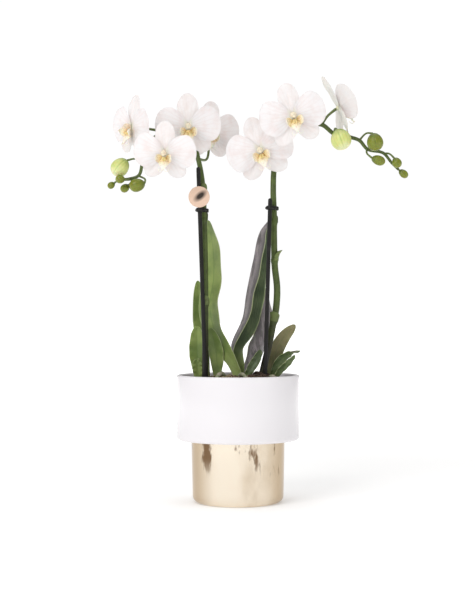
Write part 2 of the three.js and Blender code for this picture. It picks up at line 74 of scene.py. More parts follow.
@dataclass
class Shell:
    """A closed surface in millimetres: points, four- and three-cornered faces, and values at each point."""

    points: np.ndarray
    quads: np.ndarray
    triangles: np.ndarray
    marks: dict[str, np.ndarray] = field(default_factory=dict)

    def moved(self, matrix: Matrix) -> "Shell":
        """Gives the shell with its points carried by a 4 by 4 matrix.

        Args:
            matrix: where the shell's own axes go, in millimetres.

        Returns:
            A new shell with the same faces and marks.
        """
        carry = np.array(matrix)
        points = self.points @ carry[:3, :3].T + carry[:3, 3]
        return Shell(points, self.quads, self.triangles, self.marks)


def closed_skin(rings: np.ndarray, start: np.ndarray, end: np.ndarray, **marks: np.ndarray) -> Shell:
    """Skins rings of equally many points and draws each end to one point.

    The quads join point j of ring i to its neighbours in the ring and in ring i + 1. The sign of the
    enclosed volume, a third of the sum of each corner dotted with its face's area, says whether to flip.

    Args:
        rings: an array of rings by points by 3.
        start: the point that closes the first ring.
        end: the point that closes the last ring.
        marks: values on the rings, by name; an end takes the mean of its ring.

    Returns:
        The closed shell, with its faces outwards.
    """
    count, sides, _ = rings.shape
    points = np.vstack([start[None], rings.reshape(-1, 3), end[None]])
    i, j = np.meshgrid(np.arange(count - 1), np.arange(sides), indexing="ij")
    low = 1 + i * sides
    after = (j + 1) % sides
    quads = np.stack([low + j, low + after, low + sides + after, low + sides + j], axis=-1).reshape(-1, 4)
    side = np.arange(sides)
    after = (side + 1) % sides
    last = len(points) - 1
    first_fan = np.stack([np.zeros_like(side), 1 + after, 1 + side], axis=-1)
    last_fan = np.stack([np.full_like(side, last), last - sides + side, last - sides + after], axis=-1)
    triangles = np.vstack([first_fan, last_fan])
    split = np.vstack([quads[:, [0, 1, 2]], quads[:, [0, 2, 3]], triangles])
    a, b, c = (points[split[:, k]] for k in range(3))
    if np.einsum("ij,ij->i", a, np.cross(b, c)).sum() < 0:
        quads = quads[:, ::-1]
        triangles = triangles[:, ::-1]
    held = {
        name: np.concatenate([[value[0].mean()], value.reshape(-1), [value[-1].mean()]])
        for name, value in marks.items()
    }
    return Shell(points, quads, triangles, held)


def closed_ring(rings: np.ndarray) -> Shell:
    """Skins rings that follow one another round a loop, so that the last meets the first.

    Args:
        rings: an array of rings by points by 3.

    Returns:
        The closed loop, with its faces outwards.
    """
    count, sides, _ = rings.shape
    i, j = np.meshgrid(np.arange(count), np.arange(sides), indexing="ij")
    ahead, after = (i + 1) % count, (j + 1) % sides
    corners = [i * sides + j, i * sides + after, ahead * sides + after, ahead * sides + j]
    quads = np.stack(corners, axis=-1).reshape(-1, 4)
    points = rings.reshape(-1, 3)
    halves = np.vstack([quads[:, [0, 1, 2]], quads[:, [0, 2, 3]]])
    a, b, c = (points[halves[:, k]] for k in range(3))
    if np.einsum("ij,ij->i", a, np.cross(b, c)).sum() < 0:
        quads = quads[:, ::-1]
    return Shell(points, quads, np.zeros((0, 3), int))


def joined(shells: list[Shell]) -> Shell:
    """Puts shells into one, with a mark that any of them has given as 0 on the others.

    Args:
        shells: the shells, in order.

    Returns:
        One shell that holds them all.
    """
    starts = np.cumsum([0] + [len(shell.points) for shell in shells[:-1]])
    names = {name for shell in shells for name in shell.marks}
    return Shell(
        np.vstack([shell.points for shell in shells]),
        np.vstack([shell.quads + start for shell, start in zip(shells, starts)]),
        np.vstack([shell.triangles + start for shell, start in zip(shells, starts)]),
        {
            name: np.concatenate([shell.marks.get(name, np.zeros(len(shell.points))) for shell in shells])
            for name in names
        },
    )


def strewn(one: Shell, points: np.ndarray, tones: np.ndarray) -> Shell:
    """Repeats a shell's faces over many copies of its points.

    Args:
        one: the shell whose faces are repeated.
        points: an array of copies by points by 3.
        tones: a tone for each copy.

    Returns:
        One shell of all the copies, marked with "tone".
    """
    count, size, _ = points.shape
    starts = (np.arange(count) * size)[:, None, None]
    quads = (one.quads + starts).reshape(-1, 4)
    triangles = (one.triangles + starts).reshape(-1, 3)
    return Shell(points.reshape(-1, 3), quads, triangles, {"tone": np.repeat(tones, size)})


def sheet_skin(surface: np.ndarray, thickness: np.ndarray, **marks: np.ndarray) -> Shell:
    """Gives an open grid a thickness: the grid lifted by half of it along its normals, and lowered by half.

    Each row's upper points and lower points, taken backwards, make one ring, so the rows' ends close.

    Args:
        surface: an array of rows by columns by 3.
        thickness: the thickness at each grid point, in millimetres.
        marks: values on the grid, by name.

    Returns:
        The closed shell, which also marks its lower side with "underside".
    """
    along = np.gradient(surface, axis=0)
    across = np.gradient(surface, axis=1)
    normal = np.cross(along, across)
    normal /= np.linalg.norm(normal, axis=-1, keepdims=True) + 1e-12
    offset = normal * thickness[..., None] / 2
    rings = np.concatenate([surface + offset, (surface - offset)[:, ::-1]], axis=1)
    values = {name: np.concatenate([value, value[:, ::-1]], axis=1) for name, value in marks.items()}
    under = np.concatenate([np.zeros(surface.shape[:2]), np.ones(surface.shape[:2])], axis=1)
    return closed_skin(rings, rings[0].mean(0), rings[-1].mean(0), underside=under, **values)


class Route:
    """A smooth line through a few points, read by the distance along it."""

    FINE = 24
    SLOPE_REACH = 0.02

    def __init__(self, points: list[Point]) -> None:
        """Fits a Catmull-Rom curve: each span is the cubic that keeps the neighbours' mean slope.

        Args:
            points: what the line passes through, in millimetres.
        """
        knots = np.array(points, float)
        gaps = np.linalg.norm(np.diff(knots, axis=0), axis=1)
        times = np.concatenate([[0], np.cumsum(gaps)])
        slopes = np.gradient(knots, times, axis=0)
        share = np.linspace(0, 1, self.FINE, endpoint=False)[None, :, None]
        span = gaps[:, None, None]
        line = (
            (2 * share**3 - 3 * share**2 + 1) * knots[:-1, None]
            + (share**3 - 2 * share**2 + share) * span * slopes[:-1, None]
            + (3 * share**2 - 2 * share**3) * knots[1:, None]
            + (share**3 - share**2) * span * slopes[1:, None]
        )
        self.line = np.vstack([line.reshape(-1, 3), knots[-1:]])
        steps = np.linalg.norm(np.diff(self.line, axis=0), axis=1)
        self.travel = np.concatenate([[0], np.cumsum(steps)])
        self.length = float(self.travel[-1])

    def at(self, distances: np.ndarray) -> np.ndarray:
        """Gives the points at distances from the start.

        Args:
            distances: distances in millimetres.

        Returns:
            An array of points.
        """
        return np.stack([np.interp(distances, self.travel, self.line[:, k]) for k in range(3)], axis=-1)

    def heading(self, distances: np.ndarray) -> np.ndarray:
        """Gives the unit directions of travel at distances from the start.

        Args:
            distances: distances in millimetres.

        Returns:
            An array of unit vectors.
        """
        reach = self.SLOPE_REACH * self.length
        ahead = self.at(np.minimum(distances + reach, self.length))
        behind = self.at(np.maximum(distances - reach, 0))
        direction = ahead - behind
        return direction / np.linalg.norm(direction, axis=-1, keepdims=True)


def round_tube(route: Route, radius: RadiusRule, sides: int, stations: int) -> Shell:
    """Carries a circle along a route, with round ends.

    A point is the route's point plus radius times the cosine of its angle along one crossing direction and
    the sine along the other. The crossing directions come from the row axis that the route follows least.
    Within one radius of an end the circle shrinks as the section of a ball does.

    Args:
        route: the line to follow.
        radius: gives the radius in millimetres at each share of the length.
        sides: points round the tube.
        stations: rings along it, besides those that round its ends.

    Returns:
        The tube, marked with "along" from 0 to 1 and "turn", its angle in radians.
    """
    end_radii = radius(np.array([0.0, 1.0]))
    rounding = 1 - np.cos(np.linspace(0.25, 1.3, 4))
    inner = np.linspace(end_radii[0], route.length - end_radii[1], stations)
    distances = np.concatenate([end_radii[0] * rounding, inner, route.length - end_radii[1] * rounding[::-1]])
    share = distances / route.length
    from_end = np.minimum(distances / end_radii[0], (route.length - distances) / end_radii[1])
    width = radius(share) * np.sqrt(np.clip(1 - (1 - np.clip(from_end, 0, 1)) ** 2, 0, 1))
    heading = route.heading(distances)
    axis = np.eye(3)[np.abs(heading).max(0).argmin()]
    side = np.cross(heading, axis)
    side /= np.linalg.norm(side, axis=-1, keepdims=True)
    up = np.cross(heading, side)
    turn = np.linspace(0, 2 * math.pi, sides, endpoint=False)
    rings = (
        route.at(distances)[:, None]
        + width[:, None, None] * np.cos(turn)[None, :, None] * side[:, None]
        + width[:, None, None] * np.sin(turn)[None, :, None] * up[:, None]
    )
    along = np.repeat(share[:, None], sides, axis=1)
    turns = np.repeat(turn[None], len(share), axis=0)
    return closed_skin(rings, route.line[0], route.line[-1], along=along, turn=turns)


def egg(centre: Point, half: Point, sides: int = 16, stations: int = 10) -> Shell:
    """Makes an egg-shaped ball: each ring is a circle of the sine of the angle from its pole.

    Args:
        centre: its middle, in millimetres.
        half: its half sizes along X, Y and Z.
        sides: points round each ring.
        stations: rings from pole to pole.

    Returns:
        The closed ball.
    """
    polar = np.linspace(0, math.pi, stations + 2)[1:-1, None]
    turn = np.linspace(0, 2 * math.pi, sides, endpoint=False)[None]
    ball = np.stack(
        [np.sin(polar) * np.cos(turn), np.sin(polar) * np.sin(turn), -np.cos(polar) + 0 * turn], axis=-1
    )
    middle, size = np.array(centre), np.array(half)
    tip = np.array([0, 0, 1])
    return closed_skin(middle + ball * size, middle - tip * size, middle + tip * size)


def revolved(profile: np.ndarray, sides: int) -> Shell:
    """Turns a profile of radius and height about the vertical axis.

    Args:
        profile: points from axis to axis; the first and last lie on the axis.
        sides: points round each ring.

    Returns:
        The closed solid.
    """
    turn = np.linspace(0, 2 * math.pi, sides, endpoint=False)
    radius, height = profile[1:-1, 0][:, None], profile[1:-1, 1][:, None]
    rings = np.stack([radius * np.cos(turn), radius * np.sin(turn), height + 0 * turn], axis=-1)
    ends = [np.array([0.0, 0.0, profile[k, 1]]) for k in (0, -1)]
    return closed_skin(rings, ends[0], ends[1])


def quarter(centre_r: float, centre_z: float, radius: float, start: float, stop: float) -> np.ndarray:
    """Gives an arc of a profile, from one angle in degrees to another.

    Args:
        centre_r: the centre's distance from the axis.
        centre_z: the centre's height.
        radius: the arc's radius.
        start: the angle it starts at.
        stop: the angle it stops at.

    Returns:
        Points of radius and height along the arc.
    """
    angle = np.radians(np.linspace(start, stop, 9))
    return np.stack([centre_r + radius * np.cos(angle), centre_z + radius * np.sin(angle)], axis=-1)


def build_piece(
    name: str, shell: Shell, finish: "Finish", slot: str, *nodes: str, smooth: bool = True
) -> None:
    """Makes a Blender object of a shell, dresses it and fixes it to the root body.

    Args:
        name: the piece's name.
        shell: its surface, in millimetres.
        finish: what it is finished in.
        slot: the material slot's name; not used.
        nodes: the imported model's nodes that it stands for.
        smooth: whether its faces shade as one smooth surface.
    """
    mesh = bpy.data.meshes.new(name)
    corners = np.concatenate([shell.quads.reshape(-1), shell.triangles.reshape(-1)])
    sizes = np.concatenate([np.full(len(shell.quads), 4), np.full(len(shell.triangles), 3)])
    mesh.vertices.add(len(shell.points))
    mesh.loops.add(len(corners))
    mesh.polygons.add(len(sizes))
    mesh.vertices.foreach_set("co", (shell.points * MM).astype(np.float32).reshape(-1))
    mesh.loops.foreach_set("vertex_index", corners.astype(np.int32))
    mesh.polygons.foreach_set("loop_start", np.concatenate([[0], np.cumsum(sizes)[:-1]]).astype(np.int32))
    mesh.polygons.foreach_set("use_smooth", np.full(len(sizes), smooth))
    mesh.update(calc_edges=True)
    for mark, values in shell.marks.items():
        layer = mesh.attributes.new(mark, "FLOAT", "POINT")
        layer.data.foreach_set("value", values.astype(np.float32))
    mesh.materials.append(finish.material())
    piece = bpy.data.objects.new(name, mesh)
    bpy.context.scene.collection.objects.link(piece)
    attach(piece, "root")
    if nodes:
        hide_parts(*nodes)
    LOG.info("%s: %d points, %s", name, len(shell.points), finish.label)


# ----------------------------
# Finishes
# ----------------------------


class Graph:
    """A short way to place and link shader nodes in one tree."""

    def __init__(self, tree: bpy.types.NodeTree) -> None:
        """Keeps the tree.

        Args:
            tree: the node tree to add to.
        """
        self.tree = tree

    def fill(self, socket: Socket, value: object) -> None:
        """Links an input to a socket, or sets it; a colour gets an alpha of 1.

        Args:
            socket: the input.
            value: a socket, a colour or a plain value.
        """
        if isinstance(value, bpy.types.NodeSocket):
            self.tree.links.new(value, socket)
        elif isinstance(value, tuple) and socket.type == "RGBA":
            socket.default_value = (*value, 1.0)
        else:
            socket.default_value = value

    def wire(self, node: bpy.types.Node, **inputs: object) -> None:
        """Links or sets a node's inputs.

        Args:
            node: the node.
            inputs: its inputs by name, with a space written as an underscore.
        """
        for name, value in inputs.items():
            self.fill(node.inputs[name.replace("_", " ")], value)

    def node(self, kind: str, inputs: dict | None = None, **settings: object) -> bpy.types.Node:
        """Adds a node.

        Args:
            kind: the node's type, without "ShaderNode".
            inputs: what each input takes: a socket is linked, and a value is set.
            settings: the node's own properties.

        Returns:
            The new node.
        """
        made = self.tree.nodes.new("ShaderNode" + kind)
        for name, value in settings.items():
            setattr(made, name, value)
        for name, value in (inputs or {}).items():
            self.fill(made.inputs[name], value)
        return made

    def place(self) -> Socket:
        """Gives the Object coordinates, which are metres in the imported model's frame."""
        return self.node("TexCoord").outputs["Object"]

    def axis(self, name: str) -> Socket:
        """Gives one of the Object coordinates."""
        return self.node("SeparateXYZ", {0: self.place()}).outputs[name]

    def drawn_out(self, share: float) -> Socket:
        """Gives the Object coordinates with this share of their height, which draws a pattern out upwards."""
        return self.node("Mapping", {"Vector": self.place(), "Scale": (1.0, 1.0, share)}).outputs[0]

    def mark(self, name: str) -> Socket:
        """Gives a value that the mesh holds at its points."""
        return self.node("Attribute", attribute_name=name).outputs["Fac"]

    def noise(self, scale: float, detail: float = 4, rough: float = 0.55, at: Socket | None = None) -> Socket:
        """Gives a noise from 0 to 1.

        Args:
            scale: how many waves a metre holds, about.
            detail: its octaves.
            rough: how strong the small ones are.
            at: where it is read; the Object coordinates if none is given.

        Returns:
            The noise's value.
        """
        at = self.place() if at is None else at
        settings = {"Vector": at, "Scale": scale, "Detail": detail, "Roughness": rough}
        return self.node("TexNoise", settings).outputs["Fac"]

    def math(self, operation: str, a: Value, b: Value = 0.0, c: Value = 0.0, clamp: bool = False) -> Socket:
        """Works out one sum.

        Args:
            operation: Blender's name for it.
            a: the first number or socket.
            b: the second.
            c: the third.
            clamp: whether the answer stays from 0 to 1.

        Returns:
            The answer's socket.
        """
        return self.node("Math", {0: a, 1: b, 2: c}, operation=operation, use_clamp=clamp).outputs[0]

    def times(self, a: Value, b: Value) -> Socket:
        """Multiplies two numbers."""
        return self.math("MULTIPLY", a, b)

    def ramp(self, value: Value, rise: Value, start: Value) -> Socket:
        """Gives a start plus a value times its rise."""
        return self.math("MULTIPLY_ADD", value, rise, start)

    def band(
        self, value: Value, low: float, high: float, to_low: float = 0.0, to_high: float = 1.0
    ) -> Socket:
        """Maps a range of values smoothly to another, and holds it at its ends.

        Args:
            value: the socket to read.
            low: the value that gives to_low.
            high: the value that gives to_high.
            to_low: the answer at low.
            to_high: the answer at high.

        Returns:
            The mapped value's socket.
        """
        inputs = {"Value": value, "From Min": low, "From Max": high, "To Min": to_low, "To Max": to_high}
        return self.node("MapRange", inputs, interpolation_type="SMOOTHSTEP").outputs["Result"]

    def mixed(self, share: Value, first: Tint, second: Tint) -> Socket:
        """Mixes two colours.

        Args:
            share: how much of the second shows.
            first: a colour or a socket.
            second: a colour or a socket.

        Returns:
            The mixed colour's socket.
        """
        return self.node("Mix", {0: share, 6: first, 7: second}, data_type="RGBA").outputs[2]

    def relief(self, height: Socket, distance_mm: float, strength: float = 1.0) -> Socket:
        """Turns a height from 0 to 1 into a bumped normal.

        Args:
            height: the height's socket.
            distance_mm: how far 1 stands above 0.
            strength: how much of it shows.

        Returns:
            The normal's socket.
        """
        inputs = {"Height": height, "Distance": distance_mm * MM, "Strength": strength}
        return self.node("Bump", inputs).outputs["Normal"]

    def grouped(self, group: bpy.types.NodeTree, **inputs: object) -> bpy.types.Node:
        """Places a shared node group.

        Args:
            group: the group's tree.
            inputs: its inputs by name, with a space written as an underscore.

        Returns:
            The group node.
        """
        made = self.node("Group", node_tree=group)
        self.wire(made, **inputs)
        return made


class SharedEffect(Enum):
    """The effects that more than one finish uses, each built once as a node group."""

    CELLS = "Plant cells"
    VEINS = "Running veins"

    def group(self) -> bpy.types.NodeTree:
        """Gives the effect's node group, and builds it on first use.

        Returns:
            The group's tree.
        """
        found = bpy.data.node_groups.get(self.value)
        if found:
            return found
        tree = bpy.data.node_groups.new(self.value, "ShaderNodeTree")
        builders = {SharedEffect.CELLS: self._build_cells, SharedEffect.VEINS: self._build_veins}
        builders[self](tree, Graph(tree))
        return tree

    @staticmethod
    def _socket(tree: bpy.types.NodeTree, name: str, way: str, start: float = 0.0) -> None:
        """Adds a number socket to a group.

        Args:
            tree: the group.
            name: the socket's name.
            way: INPUT or OUTPUT.
            start: its first value.
        """
        socket = tree.interface.new_socket(name=name, in_out=way, socket_type="NodeSocketFloat")
        if way == "INPUT":
            socket.default_value = start

    @classmethod
    def _build_cells(cls, tree: bpy.types.NodeTree, graph: Graph) -> None:
        """Builds fine glittering cells over slow clouds, both read in Object coordinates.

        Args:
            tree: the group.
            graph: its graph.
        """
        cls._socket(tree, "Cell Scale", "INPUT", 1500.0)
        cls._socket(tree, "Cloud Scale", "INPUT", 60.0)
        cls._socket(tree, "Cells", "OUTPUT")
        cls._socket(tree, "Clouds", "OUTPUT")
        given = graph.place()
        entry = tree.nodes.new("NodeGroupInput")
        leave = tree.nodes.new("NodeGroupOutput")
        cells = graph.node("TexVoronoi", {"Vector": given, "Scale": entry.outputs["Cell Scale"]})
        scale = entry.outputs["Cloud Scale"]
        clouds = graph.node("TexNoise", {"Vector": given, "Scale": scale, "Detail": 5.0})
        tree.links.new(cells.outputs["Distance"], leave.inputs["Cells"])
        tree.links.new(clouds.outputs["Fac"], leave.inputs["Clouds"])

    @classmethod
    def _build_veins(cls, tree: bpy.types.NodeTree, graph: Graph) -> None:
        """Builds thin lines at equal steps of a value, bent a little by a noise.

        Args:
            tree: the group.
            graph: its graph.
        """
        cls._socket(tree, "Position", "INPUT", 0.0)
        cls._socket(tree, "Count", "INPUT", 10.0)
        cls._socket(tree, "Wander", "INPUT", 0.3)
        cls._socket(tree, "Veins", "OUTPUT")
        entry = tree.nodes.new("NodeGroupInput")
        leave = tree.nodes.new("NodeGroupOutput")
        wander = graph.times(graph.noise(120.0, 3), entry.outputs["Wander"])
        steps = graph.ramp(entry.outputs["Position"], entry.outputs["Count"], wander)
        wave = graph.math("SINE", graph.times(steps, 2 * math.pi))
        lines = graph.band(wave, 0.35, 1.0)
        tree.links.new(lines, leave.inputs["Veins"])


@dataclass(frozen=True)
class Finish:
    """What a surface is finished in. A subclass says how its colour, gloss and relief are worked out."""

    label: str

    def material(self) -> bpy.types.Material:
        """Gives the finish's material, and builds it on first use.

        Returns:
            The material.
        """
        found = bpy.data.materials.get(self.label)
        if found:
            return found
        made = bpy.data.materials.new(self.label)
        made.use_nodes = True
        self.dress(Graph(made.node_tree), made.node_tree.nodes["Principled BSDF"])
        return made

    def dress(self, graph: Graph, shader: bpy.types.Node) -> None:
        """Sets the shader's sockets and links its patterns.

        Args:
            graph: the material's graph.
            shader: its Principled shader.
        """
        raise NotImplementedError


def toned(colour: Colour, share: float) -> Colour:
    """Gives a colour with each of its parts multiplied by a share."""
    return tuple(share * part for part in colour)


@dataclass(frozen=True)
class PotFinish(Finish):
    """White glaze on the band, a little darker where it pools, and a gold lustre on the foot with stain marks
    that are partly painted dark reflections, and painted darker sides.
    """

    glaze: Colour = (0.885, 0.865, 0.89)
    pooled_glaze: Colour = (0.855, 0.83, 0.855)
    gold: Colour = (0.87, 0.775, 0.64)
    # The warm gold tints the clouds and also the painted darker sides of the gold.
    warm_gold_and_side_shade: Colour = (0.46, 0.33, 0.19)
    # The deep gold colours the stain marks, which are partly real stain and partly painted dark reflections.
    stain_and_reflection_brown: Colour = (0.15, 0.075, 0.025)
    line_mm: float = 57.4
    # The next three set the stain marks, which are partly real stain and partly painted dark reflections.
    stain_and_reflection_waves: float = 52.0
    stain_and_reflection_heights: tuple[float, float] = (0.018, 0.045)
    stain_and_reflection_strength: float = 0.92
    # Painted reflection: where the gold starts and stops being painted darker towards its two sides.
    painted_dark_sides: tuple[float, float] = (0.018, 0.044)
    pit_waves: float = 900.0

    def dress(self, graph: Graph, shader: bpy.types.Node) -> None:
        """Masks the two finishes by height, with clouds and stain marks, partly painted dark reflections, in
        the gold and faint pits all over.

        The stain marks, partly real and partly painted dark reflections, keep to the upper foot, and the gold
        is painted darker and browner towards its two sides, a painted reflection of the darker room there.

        Args:
            graph: the material's graph.
            shader: its Principled shader.
        """
        height = graph.axis("Z")
        lustre = graph.math("LESS_THAN", height, self.line_mm * MM)
        brushed = graph.drawn_out(0.5)
        clouds = graph.noise(16.0, 5, 0.6, brushed)
        # Stain marks on the upper foot: partly real stain and partly painted dark reflections of the room.
        stains_and_reflections = graph.band(graph.noise(self.stain_and_reflection_waves, 4, 0.62, graph.drawn_out(0.35)), 0.56, 0.64)
        stains_and_reflections = graph.times(stains_and_reflections, graph.band(height, *self.stain_and_reflection_heights))
        aside = graph.math("ABSOLUTE", graph.axis("X"))
        gold = graph.mixed(graph.band(clouds, 0.5, 0.9), self.gold, self.warm_gold_and_side_shade)
        # Painted reflection: the gold is painted darker and browner towards its two sides, where the room it
        # reflects is darker.
        gold = graph.mixed(graph.band(aside, *self.painted_dark_sides, 0.0, 0.95), gold, self.warm_gold_and_side_shade)
        gold = graph.mixed(graph.times(stains_and_reflections, self.stain_and_reflection_strength), gold, self.stain_and_reflection_brown)
        white = graph.mixed(graph.band(graph.noise(9.0, 3), 0.3, 0.8), self.glaze, self.pooled_glaze)
        pits = graph.band(graph.noise(self.pit_waves, 2), 0.62, 0.8)
        ripple = graph.ramp(pits, 0.04, graph.noise(22.0, 2, 0.4, brushed))
        graph.wire(
            shader,
            Base_Color=graph.mixed(lustre, white, gold),
            Metallic=lustre,
            Roughness=graph.ramp(clouds, 0.12, graph.ramp(lustre, -0.04, 0.14)),
            Normal=graph.relief(ripple, 0.9, 0.35),
            Specular_IOR_Level=0.35,
            Coat_Weight=0.12,
            Coat_Roughness=0.05,
        )


@dataclass(frozen=True)
class MouldedPlastic(Finish):
    """A moulded plastic with faint flow marks, fine dust and a little unevenness."""

    colour: Colour = (0.006, 0.0055, 0.005)
    worn: Colour = (0.018, 0.016, 0.014)
    rough: float = 0.42

    def dress(self, graph: Graph, shader: bpy.types.Node) -> None:
        """Mixes a dusty tone in by a noise and raises fine flow marks.

        Args:
            graph: the material's graph.
            shader: its Principled shader.
        """
        flow = graph.noise(900.0, 4, 0.6, graph.drawn_out(0.12))
        dust = graph.band(graph.noise(140.0, 6), 0.45, 0.8)
        graph.wire(
            shader,
            Base_Color=graph.mixed(dust, self.colour, self.worn),
            Roughness=graph.ramp(dust, 0.2, self.rough),
            Specular_IOR_Level=0.3,
            Normal=graph.relief(flow, 0.08, 0.5),
        )


@dataclass(frozen=True)
class LeafFinish(Finish):
    """A waxy leaf: green above with a deeper midrib and faint long veins, tinted underneath with painted
    shade towards its edges, and a pale margin that is partly a painted highlight.
    """

    green: Colour = (0.135, 0.205, 0.04)
    bright: Colour = (0.26, 0.34, 0.085)
    under: Colour = (0.25, 0.225, 0.22)
    # A pale margin colour, partly the leaf's own paler edge and partly a painted highlight.
    edge: Colour = (0.42, 0.46, 0.24)
    midrib: Colour = (0.09, 0.17, 0.03)
    sheath: Colour = (0.32, 0.40, 0.13)
    edge_highlight_from: float = 0.93

    def dress(self, graph: Graph, shader: bpy.types.Node) -> None:
        """Lays long veins, clouds and cells over the two sides, which the "underside" mark tells apart.

        Args:
            graph: the material's graph.
            shader: its Principled shader.
        """
        across, along = graph.mark("across"), graph.mark("along")
        cells = graph.grouped(SharedEffect.CELLS.group(), Cell_Scale=1400.0, Cloud_Scale=55.0)
        veins = graph.grouped(SharedEffect.VEINS.group(), Position=across, Count=9.0, Wander=0.5)
        clouds = graph.band(cells.outputs["Clouds"], 0.35, 0.68)
        aside = graph.math("ABSOLUTE", across)
        midrib = graph.band(aside, 0.0, 0.09, 0.5, 0.0)
        top = graph.mixed(clouds, self.green, self.bright)
        top = graph.mixed(graph.times(veins.outputs[0], 0.22), top, self.bright)
        top = graph.mixed(midrib, top, self.midrib)
        top = graph.mixed(graph.band(along, 0.22, 0.0), top, self.sheath)
        speckle = graph.band(graph.noise(900.0, 5), 0.42, 0.7, 0.0, 0.45)
        below = graph.mixed(speckle, self.under, toned(self.under, 0.55))
        # Painted shade: the underside is painted darker towards its two edges.
        below = graph.mixed(graph.band(aside, 0.4, 1.0, 0.0, 0.85), below, toned(self.under, 0.25))
        streaks = graph.band(graph.noise(240.0, 4, 0.6, graph.drawn_out(0.06)), 0.45, 0.6, 0.0, 0.85)
        below = graph.mixed(streaks, below, toned(self.under, 0.35))
        below = graph.mixed(graph.times(veins.outputs[0], 0.2), below, self.green)
        colour = graph.mixed(graph.mark("underside"), top, below)
        # The pale margin is partly the leaf's own paler edge and partly a painted highlight where the edge
        # catches light.
        colour = graph.mixed(graph.band(aside, self.edge_highlight_from, 1.0, 0.0, 0.8), colour, self.edge)
        height = graph.ramp(cells.outputs["Cells"], 0.12, veins.outputs[0])
        graph.wire(
            shader,
            Base_Color=colour,
            Roughness=graph.ramp(cells.outputs["Clouds"], 0.25, 0.3),
            Normal=graph.relief(height, 0.12, 0.6),
            Subsurface_Weight=0.08,
            Subsurface_Radius=(0.4, 1.0, 0.2),
            Subsurface_Scale=0.002,
            Coat_Weight=0.12,
            Coat_Roughness=0.3,
        )


@dataclass(frozen=True)
class StemFinish(Finish):
    """A smooth green stem with a dark flush, heaviest at its base, and paler stalks."""

    green: Colour = (0.062, 0.088, 0.022)
    pale: Colour = (0.17, 0.22, 0.07)
    flush: Colour = (0.02, 0.015, 0.008)
    green_above_mm: float = 190.0

    def dress(self, graph: Graph, shader: bpy.types.Node) -> None:
        """Runs from the dark base to paler stalks, mottles the flush and raises fine lengthwise lines.

        Args:
            graph: the material's graph.
            shader: its Principled shader.
        """
        cells = graph.grouped(SharedEffect.CELLS.group(), Cell_Scale=1800.0, Cloud_Scale=90.0)
        lines = graph.grouped(SharedEffect.VEINS.group(), Position=graph.mark("turn"), Count=1.9, Wander=0.6)
        clouds = graph.band(cells.outputs["Clouds"], 0.35, 0.7)
        colour = graph.mixed(clouds, self.green, toned(self.green, 1.45))
        colour = graph.mixed(graph.mark("pale"), colour, self.pale)
        colour = graph.mixed(graph.band(graph.noise(260.0, 5), 0.5, 0.75, 0.0, 0.55), colour, self.flush)
        top = self.green_above_mm * MM
        low = graph.band(graph.axis("Z"), top, 0.7 * top, 0.0, 0.9)
        colour = graph.mixed(low, colour, self.flush)
        height = graph.ramp(cells.outputs["Cells"], 0.3, lines.outputs[0])
        graph.wire(
            shader,
            Base_Color=colour,
            Roughness=graph.ramp(clouds, 0.2, 0.38),
            Specular_IOR_Level=0.3,
            Normal=graph.relief(height, 0.08, 0.5),
            Subsurface_Weight=0.05,
            Subsurface_Scale=0.001,
        )


@dataclass(frozen=True)
class PetalFinish(Finish):
    """White petal tissue: fan veins, a glitter of cells, and a faint tint towards the claw."""

    white: Colour = (0.83, 0.785, 0.79)
    vein: Colour = (0.74, 0.61, 0.59)
    claw: Colour = (0.80, 0.80, 0.62)
    back: Colour = (0.80, 0.765, 0.745)

    def dress(self, graph: Graph, shader: bpy.types.Node) -> None:
        """Fans veins out from the claw by the "fan" mark and lets light into the blade.

        Args:
            graph: the material's graph.
            shader: its Principled shader.
        """
        cells = graph.grouped(SharedEffect.CELLS.group(), Cell_Scale=2600.0, Cloud_Scale=110.0)
        veins = graph.grouped(SharedEffect.VEINS.group(), Position=graph.mark("fan"), Count=5.5, Wander=0.7)
        fade = graph.band(graph.mark("along"), 1.0, 0.25)
        lines = graph.times(veins.outputs[0], graph.ramp(fade, 0.2, 0.08))
        colour = graph.mixed(lines, self.white, self.vein)
        colour = graph.mixed(graph.band(graph.mark("along"), 0.2, 0.0), colour, self.claw)
        colour = graph.mixed(graph.band(cells.outputs["Clouds"], 0.4, 0.72, 0.0, 0.5), colour, self.vein)
        colour = graph.mixed(graph.times(graph.mark("underside"), 0.6), colour, self.back)
        height = graph.ramp(cells.outputs["Cells"], 0.25, veins.outputs[0])
        graph.wire(
            shader,
            Base_Color=colour,
            Roughness=graph.ramp(cells.outputs["Cells"], 0.2, 0.5),
            Normal=graph.relief(height, 0.10, 0.45),
            Subsurface_Weight=0.35,
            Subsurface_Radius=(1.0, 0.75, 0.7),
            Subsurface_Scale=0.003,
            Sheen_Weight=0.15,
            Sheen_Roughness=0.4,
        )


